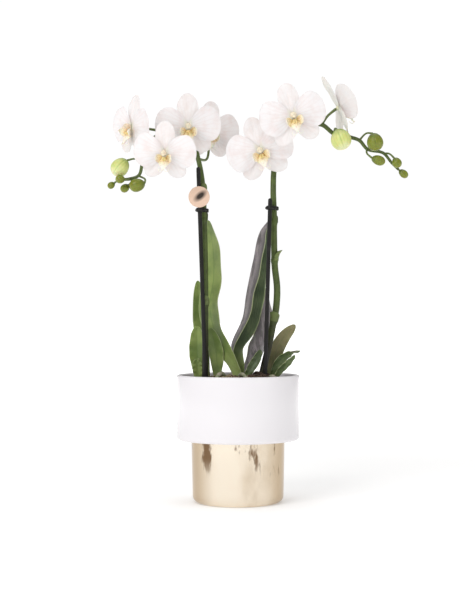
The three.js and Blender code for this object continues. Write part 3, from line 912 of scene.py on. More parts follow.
@dataclass(frozen=True)
class LipFinish(Finish):
    """The lip: cream at its rims and yellow in its throat, with brick-red bars and specks."""

    cream: Colour = (0.88, 0.85, 0.74)
    yellow: Colour = (0.86, 0.70, 0.32)
    brick: Colour = (0.42, 0.10, 0.035)

    def dress(self, graph: Graph, shader: bpy.types.Node) -> None:
        """Deepens the colour by the "throat" mark and lays bars and specks over it.

        Args:
            graph: the material's graph.
            shader: its Principled shader.
        """
        throat = graph.mark("throat")
        cells = graph.grouped(SharedEffect.CELLS.group(), Cell_Scale=2200.0, Cloud_Scale=330.0)
        bars = graph.grouped(SharedEffect.VEINS.group(), Position=graph.mark("fan"), Count=3.2, Wander=1.1)
        ground = graph.mixed(graph.band(throat, 0.35, 0.95), self.cream, self.yellow)
        specks = graph.band(graph.noise(900.0, 4, 0.6), 0.54, 0.62)
        strength = graph.times(specks, graph.band(throat, 0.15, 0.8))
        barred = graph.times(bars.outputs[0], graph.band(throat, 0.5, 1.0))
        marks = graph.math("MAXIMUM", strength, barred)
        colour = graph.mixed(graph.times(marks, 0.6), ground, self.brick)
        graph.wire(
            shader,
            Base_Color=colour,
            Roughness=graph.ramp(cells.outputs["Clouds"], 0.25, 0.3),
            Normal=graph.relief(cells.outputs["Cells"], 0.15, 0.5),
            Subsurface_Weight=0.15,
            Subsurface_Scale=0.001,
        )


@dataclass(frozen=True)
class BudFinish(Finish):
    """A bud's skin: pale green with a darker seam, a green base and a whiter tip."""

    pale: Colour = (0.62, 0.66, 0.22)
    green: Colour = (0.24, 0.36, 0.06)
    tip: Colour = (0.80, 0.80, 0.52)

    def dress(self, graph: Graph, shader: bpy.types.Node) -> None:
        """Runs from the green base to the tip and draws the seams by the "seam" mark.

        Args:
            graph: the material's graph.
            shader: its Principled shader.
        """
        along = graph.mark("along")
        cells = graph.grouped(SharedEffect.CELLS.group(), Cell_Scale=2000.0, Cloud_Scale=130.0)
        lines = graph.grouped(SharedEffect.VEINS.group(), Position=graph.mark("turn"), Count=2.9, Wander=0.5)
        colour = graph.mixed(graph.band(along, 0.45, 0.0), self.pale, self.green)
        colour = graph.mixed(graph.band(along, 0.75, 1.0, 0.0, 0.7), colour, self.tip)
        colour = graph.mixed(graph.times(graph.mark("seam"), 0.6), colour, self.green)
        colour = graph.mixed(graph.times(lines.outputs[0], 0.18), colour, self.green)
        clouds = graph.band(cells.outputs["Clouds"], 0.4, 0.75)
        colour = graph.mixed(graph.times(clouds, 0.35), colour, self.tip)
        graph.wire(
            shader,
            Base_Color=colour,
            Roughness=graph.ramp(clouds, 0.2, 0.32),
            Normal=graph.relief(lines.outputs[0], 0.1, 0.4),
            Subsurface_Weight=0.2,
            Subsurface_Scale=0.002,
        )


@dataclass(frozen=True)
class RootFinish(Finish):
    """An air root's dry silvery skin, mottled over green, with a fine grain."""

    silver: Colour = (0.42, 0.38, 0.30)
    green: Colour = (0.20, 0.24, 0.12)

    def dress(self, graph: Graph, shader: bpy.types.Node) -> None:
        """Mottles silver over green and roughens it.

        Args:
            graph: the material's graph.
            shader: its Principled shader.
        """
        patches = graph.band(graph.noise(210.0, 6, 0.65), 0.38, 0.62)
        grain = graph.noise(2200.0, 4, 0.7)
        graph.wire(
            shader,
            Base_Color=graph.mixed(patches, self.green, self.silver),
            Roughness=graph.ramp(grain, 0.25, 0.6),
            Normal=graph.relief(grain, 0.25, 0.8),
        )


@dataclass(frozen=True)
class BarkFinish(Finish):
    """Dry bark: a tone of its own on each chip, with blotches and dusty fibres."""

    dark: Colour = (0.022, 0.013, 0.010)
    light: Colour = (0.11, 0.065, 0.04)
    dust: Colour = (0.22, 0.165, 0.115)

    def dress(self, graph: Graph, shader: bpy.types.Node) -> None:
        """Picks each chip's tone from its "tone" mark and lays fibres and dust over it.

        Args:
            graph: the material's graph.
            shader: its Principled shader.
        """
        fibres = graph.noise(1300.0, 6, 0.7)
        blotches = graph.band(graph.noise(260.0, 4), 0.35, 0.7)
        tone = graph.ramp(blotches, 0.35, graph.times(graph.mark("tone"), 0.65))
        colour = graph.mixed(tone, self.dark, self.light)
        colour = graph.mixed(graph.times(graph.band(fibres, 0.55, 0.8), 0.5), colour, self.dust)
        graph.wire(
            shader,
            Base_Color=colour,
            Roughness=graph.ramp(fibres, 0.2, 0.75),
            Normal=graph.relief(fibres, 0.5, 0.9),
        )


@dataclass(frozen=True)
class MossFinish(Finish):
    """Dried moss: straw-coloured strands, each with a tone of its own."""

    straw: Colour = (0.52, 0.43, 0.27)
    brown: Colour = (0.27, 0.19, 0.10)

    def dress(self, graph: Graph, shader: bpy.types.Node) -> None:
        """Mixes straw and brown by the strand's "tone" mark and a fine noise.

        Args:
            graph: the material's graph.
            shader: its Principled shader.
        """
        fine = graph.noise(1600.0, 5)
        tone = graph.times(graph.mark("tone"), 0.6)
        share = graph.math("MULTIPLY_ADD", fine, 0.5, tone, clamp=True)
        graph.wire(
            shader,
            Base_Color=graph.mixed(share, self.straw, self.brown),
            Roughness=graph.ramp(fine, 0.2, 0.7),
            Normal=graph.relief(fine, 0.2, 0.7),
        )


@dataclass(frozen=True)
class CardFinish(Finish):
    """Uncoated card: a warm peach tone with pressed fibres, inked where it is printed."""

    peach: Colour = (0.70, 0.48, 0.35)
    fibre: Colour = (0.78, 0.58, 0.46)
    ink: Colour = (0.035, 0.022, 0.016)

    def dress(self, graph: Graph, shader: bpy.types.Node) -> None:
        """Presses fibres of two tones into the card and inks it by the "printed" mark.

        Args:
            graph: the material's graph.
            shader: its Principled shader.
        """
        felt = graph.noise(1500.0, 7, 0.7)
        clouds = graph.times(graph.noise(160.0, 3), 0.4)
        card = graph.mixed(graph.math("MULTIPLY_ADD", felt, 0.7, clouds, clamp=True), self.peach, self.fibre)
        graph.wire(
            shader,
            Base_Color=graph.mixed(graph.mark("printed"), card, self.ink),
            Roughness=graph.ramp(felt, 0.15, 0.72),
            Normal=graph.relief(felt, 0.1, 0.7),
        )


@dataclass(frozen=True)
class FloorFinish(Finish):
    """The studio's plain pale floor, with the faintest unevenness, which glows more the further it is."""

    pale: Colour = (0.93, 0.93, 0.93)
    worn: Colour = (0.92, 0.92, 0.92)
    near_glow: Colour = (0.3, 0.3, 0.3)
    far_glow: Colour = (1.0, 1.0, 1.0)
    glow_from: float = 0.3
    glow_to: float = 1.6

    def dress(self, graph: Graph, shader: bpy.types.Node) -> None:
        """Clouds a pale paint by a hundredth or so and lights it by the distance from the pot.

        Args:
            graph: the material's graph.
            shader: its Principled shader.
        """
        away = graph.node("VectorMath", {0: graph.place()}, operation="LENGTH").outputs["Value"]
        share = graph.band(away, self.glow_from, self.glow_to)
        graph.wire(
            shader,
            Base_Color=graph.mixed(graph.noise(1.5, 3), self.pale, self.worn),
            Roughness=0.9,
            Specular_IOR_Level=0.1,
            Emission_Color=graph.mixed(share, self.near_glow, self.far_glow),
            Emission_Strength=1.0,
        )


POT_FINISH = PotFinish("Pot glaze and gold")
NURSERY_FINISH = MouldedPlastic("Smoky pot plastic", (0.10, 0.085, 0.078), (0.17, 0.15, 0.135), 0.28)
BLACK_FINISH = MouldedPlastic("Black stake plastic")
LEAF_FINISH = LeafFinish("Leaf skin")
# A darker copy of the leaf skin for the low leaves: partly their own deeper green and partly painted shade,
# as they sit low under the others.
DARK_LEAF_FINISH = LeafFinish(
    "Dark leaf skin", green=(0.055, 0.09, 0.025), bright=(0.11, 0.16, 0.045), under=(0.10, 0.08, 0.075)
)
GREY_LEAF_FINISH = LeafFinish(
    "Grey-backed leaf skin", green=(0.05, 0.085, 0.03), bright=(0.11, 0.155, 0.06), under=(0.31, 0.275, 0.285)
)
OLIVE_LEAF_FINISH = LeafFinish(
    "Olive leaf skin", green=(0.13, 0.125, 0.045), bright=(0.22, 0.20, 0.085), under=(0.16, 0.11, 0.08)
)
STEM_FINISH = StemFinish("Stem skin")
PETAL_FINISH = PetalFinish("Petal tissue")
SEPAL_FINISH = PetalFinish(
    "Sepal tissue", (0.82, 0.77, 0.765), (0.72, 0.61, 0.58), (0.74, 0.74, 0.50), (0.80, 0.79, 0.70)
)
LIP_FINISH = LipFinish("Lip tissue")
COLUMN_FINISH = PetalFinish("Column tissue", (0.82, 0.73, 0.54), (0.66, 0.47, 0.36), (0.74, 0.60, 0.30))
BUD_FINISH = BudFinish("Bud skin")
YOUNG_BUD_FINISH = BudFinish("Young bud skin", (0.18, 0.21, 0.012), (0.08, 0.12, 0.01), (0.26, 0.28, 0.04))
ROOT_FINISH = RootFinish("Air root skin")
BARK_FINISH = BarkFinish("Bark")
MOSS_FINISH = MossFinish("Dried moss")
CARD_FINISH = CardFinish("Peach card")
FLOOR_FINISH = FloorFinish("Studio floor")


# ----------------------------
# The pots and what fills them
# ----------------------------


def box_mm(node: str) -> tuple[np.ndarray, np.ndarray]:
    """Gives a node's lowest and highest corners in millimetres.

    Args:
        node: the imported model's node.

    Returns:
        The two corners.
    """
    low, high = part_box(node)
    return np.array(low) / MM, np.array(high) / MM


@dataclass
class CoverPot:
    """The ceramic cover pot: a band with a rounded rim on a narrower, slightly tapered foot."""

    wall: float = 3.5
    band_bottom: float = 58.0
    foot_top: float = 43.3
    foot_bottom: float = 42.3
    foot_fillet: float = 6.0
    band_fillet: float = 3.5
    corner: float = 0.6
    floor: float = 5.0
    foot_ring: float = 0.5
    sides: int = 160

    def profile(self) -> np.ndarray:
        """Gives the wall's section: up the outside, over the rim and down the inside.

        Returns:
            Points of radius and height, from axis to axis.
        """
        _, high = box_mm("cover_pot")
        band, height, rim, soft = high[0], high[2], self.wall / 2, self.corner
        inner_band, inner_step = band - self.wall, self.band_bottom + self.wall
        inner_foot = self.foot_top - self.wall
        fillet, under = self.foot_fillet, self.band_fillet
        rise = np.linspace(0.0, 1.0, 14)[:, None]
        wall_start = np.array([self.foot_bottom, fillet])
        wall_end = np.array([self.foot_top, self.band_bottom - soft])
        return np.vstack(
            [
                [[0.0, self.foot_ring], [self.foot_bottom - fillet - 4, self.foot_ring]],
                [[self.foot_bottom - fillet - 3, 0.0]],
                quarter(self.foot_bottom - fillet, fillet, fillet, -90, 0),
                wall_start + rise[1:-1] * (wall_end - wall_start),
                quarter(self.foot_top + soft, self.band_bottom - soft, soft, 180, 90),
                quarter(band - under, self.band_bottom + under, under, -90, 0),
                quarter(band - rim, height - rim, rim, 0, 180),
                quarter(inner_band - soft, inner_step + soft, soft, 0, -90),
                quarter(inner_foot + soft, inner_step - soft, soft, 90, 180),
                quarter(self.foot_bottom - self.wall - 2, self.floor + 2, 2, 0, -90),
                [[0.0, self.floor]],
            ]
        )

    def build(self) -> None:
        """Makes the pot."""
        shell = revolved(self.profile(), self.sides)
        build_piece("cover_pot_body", shell, POT_FINISH, "pot_ceramic", "cover_pot")


@dataclass
class NurseryPot:
    """The grower's thin plastic pot: tapered, ribbed low down, with a rolled lip."""

    base: float = 31.0
    rim: float = 44.0
    lip: float = 2.0
    lip_height: float = 4.0
    wall: float = 1.2
    ribs: int = 16
    rib_depth: float = 0.35
    sides: int = 128

    def build(self) -> None:
        """Makes the pot, with ribs that swell its radius by a cosine of the angle over its lower half."""
        low, high = box_mm("nursery_pot")
        foot, top = low[2], high[2]
        bend = top - self.lip_height
        rise = np.linspace(0, 1, 24)[:, None]
        outer = np.array([self.base, foot + 0.8]) + rise * np.array([self.rim - self.base, bend - foot - 1.1])
        inner = outer[::-1] - np.array([self.wall, -0.4])
        inner = inner[inner[:, 1] > foot + self.wall]
        profile = np.vstack(
            [
                [[0.0, foot], [self.base - 0.8, foot]],
                outer,
                quarter(self.rim + self.lip - 0.6, bend + 0.6, 0.6, -90, 0),
                quarter(self.rim + self.lip - 1.2, top - 1.2, 1.2, 0, 90),
                quarter(self.rim - self.wall + 0.8, top - 0.8, 0.8, 90, 180),
                inner,
                [[0.0, foot + self.wall]],
            ]
        )
        shell = revolved(profile, self.sides)
        x, y, z = shell.points.T
        radius = np.hypot(x, y)
        turn = np.arctan2(y, x)
        low_half = np.clip((0.55 * top - z) / 20, 0, 1) * (radius > 0.8 * self.base)
        swell = 1 + self.rib_depth * low_half * np.cos(self.ribs * turn) / np.maximum(radius, 1)
        shell.points = np.stack([x * swell, y * swell, z], axis=-1)
        build_piece("nursery_pot_body", shell, NURSERY_FINISH, "nursery_plastic", "nursery_pot")


@dataclass
class BarkBed:
    """The bark: a dark mound, chips strewn over it and tufts of dried moss between them."""

    edge_z: float = 108.0
    mound: float = 4.5
    rim_radius: float = 44.0
    fill_radius: float = 41.3
    chips: int = 430
    chip_sizes: tuple[tuple[float, float], ...] = ((2.2, 5.6), (1.5, 3.1), (1.6, 3.6))
    pile_at: tuple[float, float] = (23.0, -9.0)
    pile_height: float = 8.0
    pile_spread: float = 150.0
    strands: int = 190
    tufts: tuple[tuple[float, float], ...] = ((-16, -8), (7, -10), (1, 14), (-6, -22), (24, -20), (-28, 14))
    tuft_spread: float = 4.6
    seed: int = 7

    def height(self, x: np.ndarray, y: np.ndarray) -> np.ndarray:
        """Gives the mound's height: a low paraboloid with a slow ripple.

        Args:
            x: where, in millimetres.
            y: where, in millimetres.

        Returns:
            The heights.
        """
        radius = np.hypot(x, y) / self.rim_radius
        return self.edge_z + self.mound * (1 - radius**2) + 0.5 * np.sin(0.31 * x + 1) * np.cos(0.27 * y)

    def mound_shell(self) -> Shell:
        """Makes the mound: rings up the nursery pot's taper, then in over the top with a crumb of sines.

        Returns:
            The closed mound.
        """
        low, _ = box_mm("bark_mix")
        turn = np.linspace(0, 2 * math.pi, 96, endpoint=False)
        reach = np.array([29.0, 35.5, self.fill_radius])[:, None]
        level = np.array([low[2], 58.0, self.edge_z - 1])[:, None]
        side = np.stack([reach * np.cos(turn), reach * np.sin(turn), level + 0 * turn], axis=-1)
        spread = np.linspace(self.fill_radius - 0.3, 1.5, 26)[:, None]
        x, y = spread * np.cos(turn), spread * np.sin(turn)
        crumbs = 0.5 * np.sin(1.1 * x + 2) * np.sin(0.9 * y) + 0.35 * np.sin(2.3 * x) * np.cos(2.1 * y + 1)
        top = np.stack([x, y, self.height(x, y) + crumbs], axis=-1)
        rings = np.concatenate([side, top])
        return closed_skin(rings, np.array([0, 0, low[2]]), top[-1].mean(0), tone=np.zeros(rings.shape[:2]))

    def chip_shell(self) -> Shell:
        """Makes every chip at once: a rough block of six sides, stretched, turned and laid on the mound.

        Each chip is a ring of six corners at four levels, drawn in at top and bottom. A small tilt and a turn
        about Z carry the whole array of chips to their places, which rise in a pile by a Gaussian.

        Returns:
            The chips, each marked with a "tone" of its own.
        """
        rng = np.random.default_rng(self.seed)
        count = self.chips
        turn = np.linspace(0, 2 * math.pi, 6, endpoint=False)
        levels = np.array([[0.72, -0.5], [1.0, -0.2], [0.95, 0.25], [0.66, 0.5]])
        hexagon = np.stack([np.cos(turn), np.sin(turn)], axis=-1)
        flat = levels[:, 0][:, None, None] * hexagon[None]
        rise = np.repeat(levels[:, 1][:, None], 6, axis=1)[..., None]
        block = np.concatenate([flat, rise], axis=-1).reshape(-1, 3)
        block = np.vstack([[[0, 0, -0.55]], block, [[0, 0, 0.55]]])
        size = np.stack([rng.uniform(*span, count) for span in self.chip_sizes], axis=-1)
        rough = 1 + rng.uniform(-0.24, 0.24, (count, len(block), 3))
        shaped = block[None] * rough * size[:, None]
        spin = rng.uniform(0, math.pi, count)
        tilt = rng.normal(0, 0.32, count)
        x, y, z = np.moveaxis(shaped, -1, 0)
        y, z = (
            y * np.cos(tilt)[:, None] - z * np.sin(tilt)[:, None],
            y * np.sin(tilt)[:, None] + z * np.cos(tilt)[:, None],
        )
        x, y = (
            x * np.cos(spin)[:, None] - y * np.sin(spin)[:, None],
            x * np.sin(spin)[:, None] + y * np.cos(spin)[:, None],
        )
        reach = (self.fill_radius - 3.5) * np.sqrt(rng.uniform(0, 1, count))
        where = rng.uniform(0, 2 * math.pi, count)
        px, py = reach * np.cos(where), reach * np.sin(where)
        away = (px - self.pile_at[0]) ** 2 + (py - self.pile_at[1]) ** 2
        pile = self.pile_height * np.exp(-away / self.pile_spread) * rng.uniform(0.25, 1.0, count)
        pz = self.height(px, py) + rng.uniform(0.3, 3.6, count) + pile
        points = np.stack([x + px[:, None], y + py[:, None], z + pz[:, None]], axis=-1)
        one = closed_skin(block[1:-1].reshape(4, 6, 3), block[0], block[-1])
        return strewn(one, points, rng.uniform(0, 1, count))

    def strand_shell(self) -> Shell:
        """Makes every moss strand at once: five rings of four corners along a bowed line.

        A strand's line runs straight but for a sideways bow, and rises and falls as half a sine wave.

        Returns:
            The strands, each marked with a "tone" of its own.
        """
        rng = np.random.default_rng(self.seed + 1)
        count = self.strands
        share = np.linspace(0, 1, 5)[None]
        length = rng.uniform(6, 15, count)[:, None]
        head = rng.uniform(0, 2 * math.pi, count)[:, None]
        tufts = np.array(self.tufts, float)
        home = tufts[rng.integers(0, len(tufts), count)] + rng.normal(0, self.tuft_spread, (count, 2))
        bow = rng.normal(0, 2.2, count)[:, None] * np.sin(math.pi * share)
        run = length * (share - 0.5)
        x = home[:, :1] + run * np.cos(head) - bow * np.sin(head)
        y = home[:, 1:] + run * np.sin(head) + bow * np.cos(head)
        lift = rng.uniform(1.4, 4.8, count)[:, None] * np.sin(math.pi * share) + 1.6
        centre = np.stack([x, y, self.height(x, y) + lift], axis=-1)
        turn = np.linspace(0, 2 * math.pi, 4, endpoint=False)
        taper = np.array([0.5, 1, 1, 1, 0.5])[None, :, None, None]
        thick = rng.uniform(0.22, 0.5, count)[:, None, None, None] * taper
        crossing = np.stack([-np.sin(head), np.cos(head), 0 * head], axis=-1)[:, :, None]
        upward = np.array([0.0, 0.0, 1.0])
        around = np.cos(turn)[None, None, :, None] * crossing + np.sin(turn)[None, None, :, None] * upward
        rings = centre[:, :, None] + thick * around
        points = np.concatenate([centre[:, :1], rings.reshape(count, -1, 3), centre[:, -1:]], axis=1)
        one = closed_skin(rings[0], centre[0, 0], centre[0, -1])
        return strewn(one, points, rng.uniform(0, 1, count))

    def build(self) -> None:
        """Makes the mound, its chips and its moss."""
        build_piece("bark_mound", self.mound_shell(), BARK_FINISH, "bark", "bark_mix")
        build_piece("bark_chips", self.chip_shell(), BARK_FINISH, "bark", smooth=False)
        build_piece("dried_moss", self.strand_shell(), MOSS_FINISH, "bark")


# ----------------------------
# Stakes, clips and tag
# ----------------------------


@dataclass
class Stake:
    """A round plastic plant stake that leans a little."""

    node: str
    leans: int
    radius: float = 1.9

    def ends(self) -> tuple[np.ndarray, np.ndarray]:
        """Works the stake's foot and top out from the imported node's box and the side that it leans to.

        Returns:
            The middle of the foot and of the top, in millimetres.
        """
        low, high = box_mm(self.node)
        depth = (low[1] + high[1]) / 2
        left, right = low[0] + self.radius, high[0] - self.radius
        foot_x, top_x = (right, left) if self.leans < 0 else (left, right)
        return np.array([foot_x, depth, low[2]]), np.array([top_x, depth, high[2]])

    def at_height(self, height: float) -> np.ndarray:
        """Gives the stake's centre at a height.

        Args:
            height: the height in millimetres.

        Returns:
            The point.
        """
        foot, top = self.ends()
        return foot + (top - foot) * (height - foot[2]) / (top[2] - foot[2])

    def build(self) -> None:
        """Makes the stake: a straight round rod."""
        foot, top = self.ends()
        route = Route([tuple(foot), tuple((foot + top) / 2), tuple(top)])
        shell = round_tube(route, lambda share: np.full(share.shape, self.radius), 24, 90)
        build_piece(self.node + "_rod", shell, BLACK_FINISH, "stake_plastic", self.node)


@dataclass
class Clip:
    """A spring clip: one loop round the stake, a wider one round the stem, and two finger tabs."""

    node: str
    stake: Stake
    stem: tuple[float, float]
    stem_loop: float = 3.4
    wire: float = 1.5
    tab: float = 5.0
    tab_sweep: float = 2.4
    gap: float = 0.12

    def loop(self, centre: np.ndarray, radius: float, height: float) -> Shell:
        """Makes a flat-sided band in a ring: a rounded oblong section carried round a circle.

        Args:
            centre: its middle.
            radius: the circle's radius.
            height: the band's height.

        Returns:
            The band, cut open on its right and closed at both cuts.
        """
        x, y, z = centre
        turn = np.linspace(self.gap, 2 * math.pi - self.gap, 40)[:, None]
        section = np.linspace(0, 2 * math.pi, 14, endpoint=False)[None]
        flat = np.sign(np.sin(section)) * np.abs(np.sin(section)) ** 0.5
        out = radius + 0.5 * self.wire * np.cos(section)
        rings = np.stack(
            [x + out * np.cos(turn), y + out * np.sin(turn), z + 0.5 * height * flat + 0 * turn], axis=-1
        )
        return closed_skin(rings, rings[0].mean(0), rings[-1].mean(0))

    def build(self) -> None:
        """Makes the two loops and the two tabs, which sweep back from between them."""
        low, high = box_mm(self.node)
        middle = (low[2] + high[2]) / 2
        height = high[2] - low[2]
        rod = self.stake.at_height(middle)
        stem = np.array([*self.stem, middle])
        toward = (stem - rod) / np.linalg.norm(stem - rod)
        aside = np.array([toward[1], -toward[0], 0.0])
        shells = [
            self.loop(rod, self.stake.radius + 0.9, height),
            self.loop(stem, self.stem_loop + 0.5, height),
        ]
        hinge = rod + toward * (self.stake.radius + 1.4)
        for way in (-1, 1):
            start = hinge + way * aside * 1.0
            end = hinge + way * aside * self.tab - toward * self.tab_sweep
            shells.append(egg(tuple((start + end) / 2), (self.tab * 0.52, self.wire, height * 0.5), 16, 8))
        build_piece(self.node + "_band", joined(shells), BLACK_FINISH, "stake_plastic", self.node)


@dataclass
class Tag:
    """A thin round card on the stake, with a pressed ring, a plain printed oval and a sleeve behind it."""

    thickness: float = 0.8
    sleeve: float = 3.0
    motif: tuple[float, float] = (8.0, 4.0)
    motif_slant: float = 40.0
    ring_share: float = 0.86
    ring_depth: float = 0.12

    def card(self, centre: np.ndarray, radius: float) -> Shell:
        """Makes the card: a disc with a rounded edge, a shallow pressed ring and an oval print.

        Its depth is half the thickness, less a Gaussian at the ring, and it bows by the square of the
        distance across. The print fades with the distance from the middle of a slanted oval.

        Args:
            centre: the disc's middle.
            radius: its radius.

        Returns:
            The disc.
        """
        turn = np.linspace(0, 2 * math.pi, 96, endpoint=False)[None]
        spread = np.concatenate([np.linspace(0.06, 0.97, 22), [0.99, 1.0]])
        spread = np.concatenate([spread, spread[::-1]])[:, None]
        half = len(spread) // 2
        side = np.where(np.arange(len(spread)) < half, -1.0, 1.0)[:, None]
        edge = np.clip((1 - spread) / 0.03, 0, 1)
        pressed = self.ring_depth * np.exp(-(((spread - self.ring_share) / 0.02) ** 2))
        depth = side * (self.thickness / 2 * np.sqrt(0.15 + 0.85 * edge) - pressed)
        bow = 0.5 * (spread * np.cos(turn)) ** 2
        over, up = radius * spread * np.cos(turn), radius * spread * np.sin(turn)
        rings = np.stack([centre[0] + over, centre[1] + depth + bow, centre[2] + up], axis=-1)
        slant = math.radians(self.motif_slant)
        along = (over * math.cos(slant) + up * math.sin(slant) - 1.5) / self.motif[0]
        across = (up * math.cos(slant) - over * math.sin(slant)) / self.motif[1]
        oval = np.clip(1.6 - 1.5 * np.hypot(along, across), 0, 1) * (side < 0)
        return closed_skin(rings, rings[0].mean(0), rings[-1].mean(0), printed=oval)

    def build(self, stake: Stake) -> None:
        """Makes the card and its sleeve.

        Args:
            stake: the stake that it slides on.
        """
        low, high = box_mm("round_tag")
        radius = (high[2] - low[2]) / 2
        centre = np.array([(low[0] + high[0]) / 2, low[1] + self.thickness / 2, (low[2] + high[2]) / 2])
        rod = stake.at_height(centre[2])
        turn = np.linspace(0, 2 * math.pi, 40, endpoint=False)
        outer, inner = self.sleeve, self.sleeve - 0.7
        around = np.array([[inner, -2.4], [outer, -2.4], [outer, 2.4], [inner, 2.4]])
        rings = np.stack(
            [
                rod[0] + around[:, :1] * np.cos(turn),
                rod[1] + around[:, :1] * np.sin(turn),
                rod[2] + around[:, 1:] + 0 * turn,
            ],
            axis=-1,
        )
        sleeve = closed_ring(np.swapaxes(rings, 0, 1))
        build_piece("round_tag_card", self.card(centre, radius), CARD_FINISH, "tag_card", "round_tag")
        build_piece("round_tag_sleeve", sleeve, CARD_FINISH, "tag_card", smooth=False)


# ----------------------------
# Leaves and roots
# ----------------------------


@dataclass
class Leaf:
    """A strap leaf on a midrib: its blade folds up from the midrib and tapers to a rounded tip."""

    node: str
    half_width: float
    turn: tuple[float, float]
    fold: float
    spine: list[Point]
    finish: LeafFinish = LEAF_FINISH
    thickness: float = 1.5
    base_share: float = 0.36
    widest: float = 0.6
    edge_thinning: float = 0.72
    crease: float = 0.006
    wave: float = 0.6
    stations: int = 110
    columns: int = 25

    def width(self, share: np.ndarray) -> np.ndarray:
        """Gives the half width: a quarter sine from the base, times the root of 1 - u^4 to the tip.

        Args:
            share: the share of the length.

        Returns:
            The half widths in millimetres.
        """
        swell = np.sin(np.minimum(1, share / self.widest) * math.pi / 2)
        rise = self.base_share + (1 - self.base_share) * swell
        return self.half_width * rise * np.sqrt(np.maximum(1 - share**4, 0))

    def build(self) -> None:
        """Makes the blade: each point is the midrib's, plus a step across and a smooth V of lift."""
        route = Route(self.spine)
        share = np.sin(np.linspace(0, math.pi / 2, self.stations)) * 0.9995
        centre = route.at(share * route.length)
        tangent = route.heading(share * route.length)
        angle = np.radians(self.turn[0] + (self.turn[1] - self.turn[0]) * share)
        across = np.stack([np.cos(angle), np.sin(angle), 0 * angle], axis=-1)
        across -= np.einsum("ij,ij->i", across, tangent)[:, None] * tangent
        across /= np.linalg.norm(across, axis=-1, keepdims=True)
        normal = np.cross(tangent, across)
        step = np.linspace(-1, 1, self.columns)
        half = self.width(share)[:, None]
        fold = math.radians(self.fold)
        lift = np.sqrt(step**2 + self.crease) - math.sqrt(self.crease)
        ripple = self.wave * np.sin(9.5 * share[:, None] * math.pi + 1.3 * np.sign(step)) * np.abs(step) ** 3
        bowed = 0.12 * half * (1 - step**2) * math.cos(fold)
        surface = (
            centre[:, None]
            + (step * half * math.cos(fold))[..., None] * across[:, None]
            + (lift * half * math.sin(fold) + ripple - bowed)[..., None] * normal[:, None]
        )
        thinned = self.thickness * (1 - self.edge_thinning * np.abs(step) ** 1.6)
        thick = thinned * np.clip((1.02 - share[:, None]) / 0.1, 0.25, 1)
        along = np.repeat(share[:, None], self.columns, axis=1)
        steps = np.repeat(step[None], len(share), axis=0)
        shell = sheet_skin(surface, thick, along=along, across=steps)
        build_piece(self.node + "_blade", shell, self.finish, "leaf", self.node)


@dataclass
class AirRoot:
    """An air root: a tapering tube with slow swellings and a blunt tip."""

    node: str
    radius: float
    path: list[Point]

    def build(self) -> None:
        """Makes the root, whose radius carries two slow waves."""

        def width(share: np.ndarray) -> np.ndarray:
            """Gives the radius at each share of the length."""
            waves = 1 + 0.07 * np.sin(17 * share) + 0.04 * np.sin(41 * share + 1)
            return self.radius * (1 - 0.18 * share) * waves

        shell = round_tube(Route(self.path), width, 20, 60)
        build_piece(self.node + "_skin", shell, ROOT_FINISH, "air_root", self.node)


# ----------------------------
# Flowers, buds and spikes
# ----------------------------


class Blade(Enum):
    """The kinds of blade of a flower: length, half width and how far the outline tapers to the claw."""

    PETAL = (31.0, 19.5, 0.28)
    TOP_SEPAL = (30.5, 10.4, 0.12)
    SIDE_SEPAL = (29.5, 10.2, 0.12)

    def __init__(self, length: float, half_width: float, taper: float) -> None:
        """Names the kind's sizes.

        Args:
            length: from the flower's centre to the tip, in millimetres.
            half_width: half the widest width.
            taper: the power of the distance that narrows the claw.
        """
        self.length = length
        self.half_width = half_width
        self.taper = taper


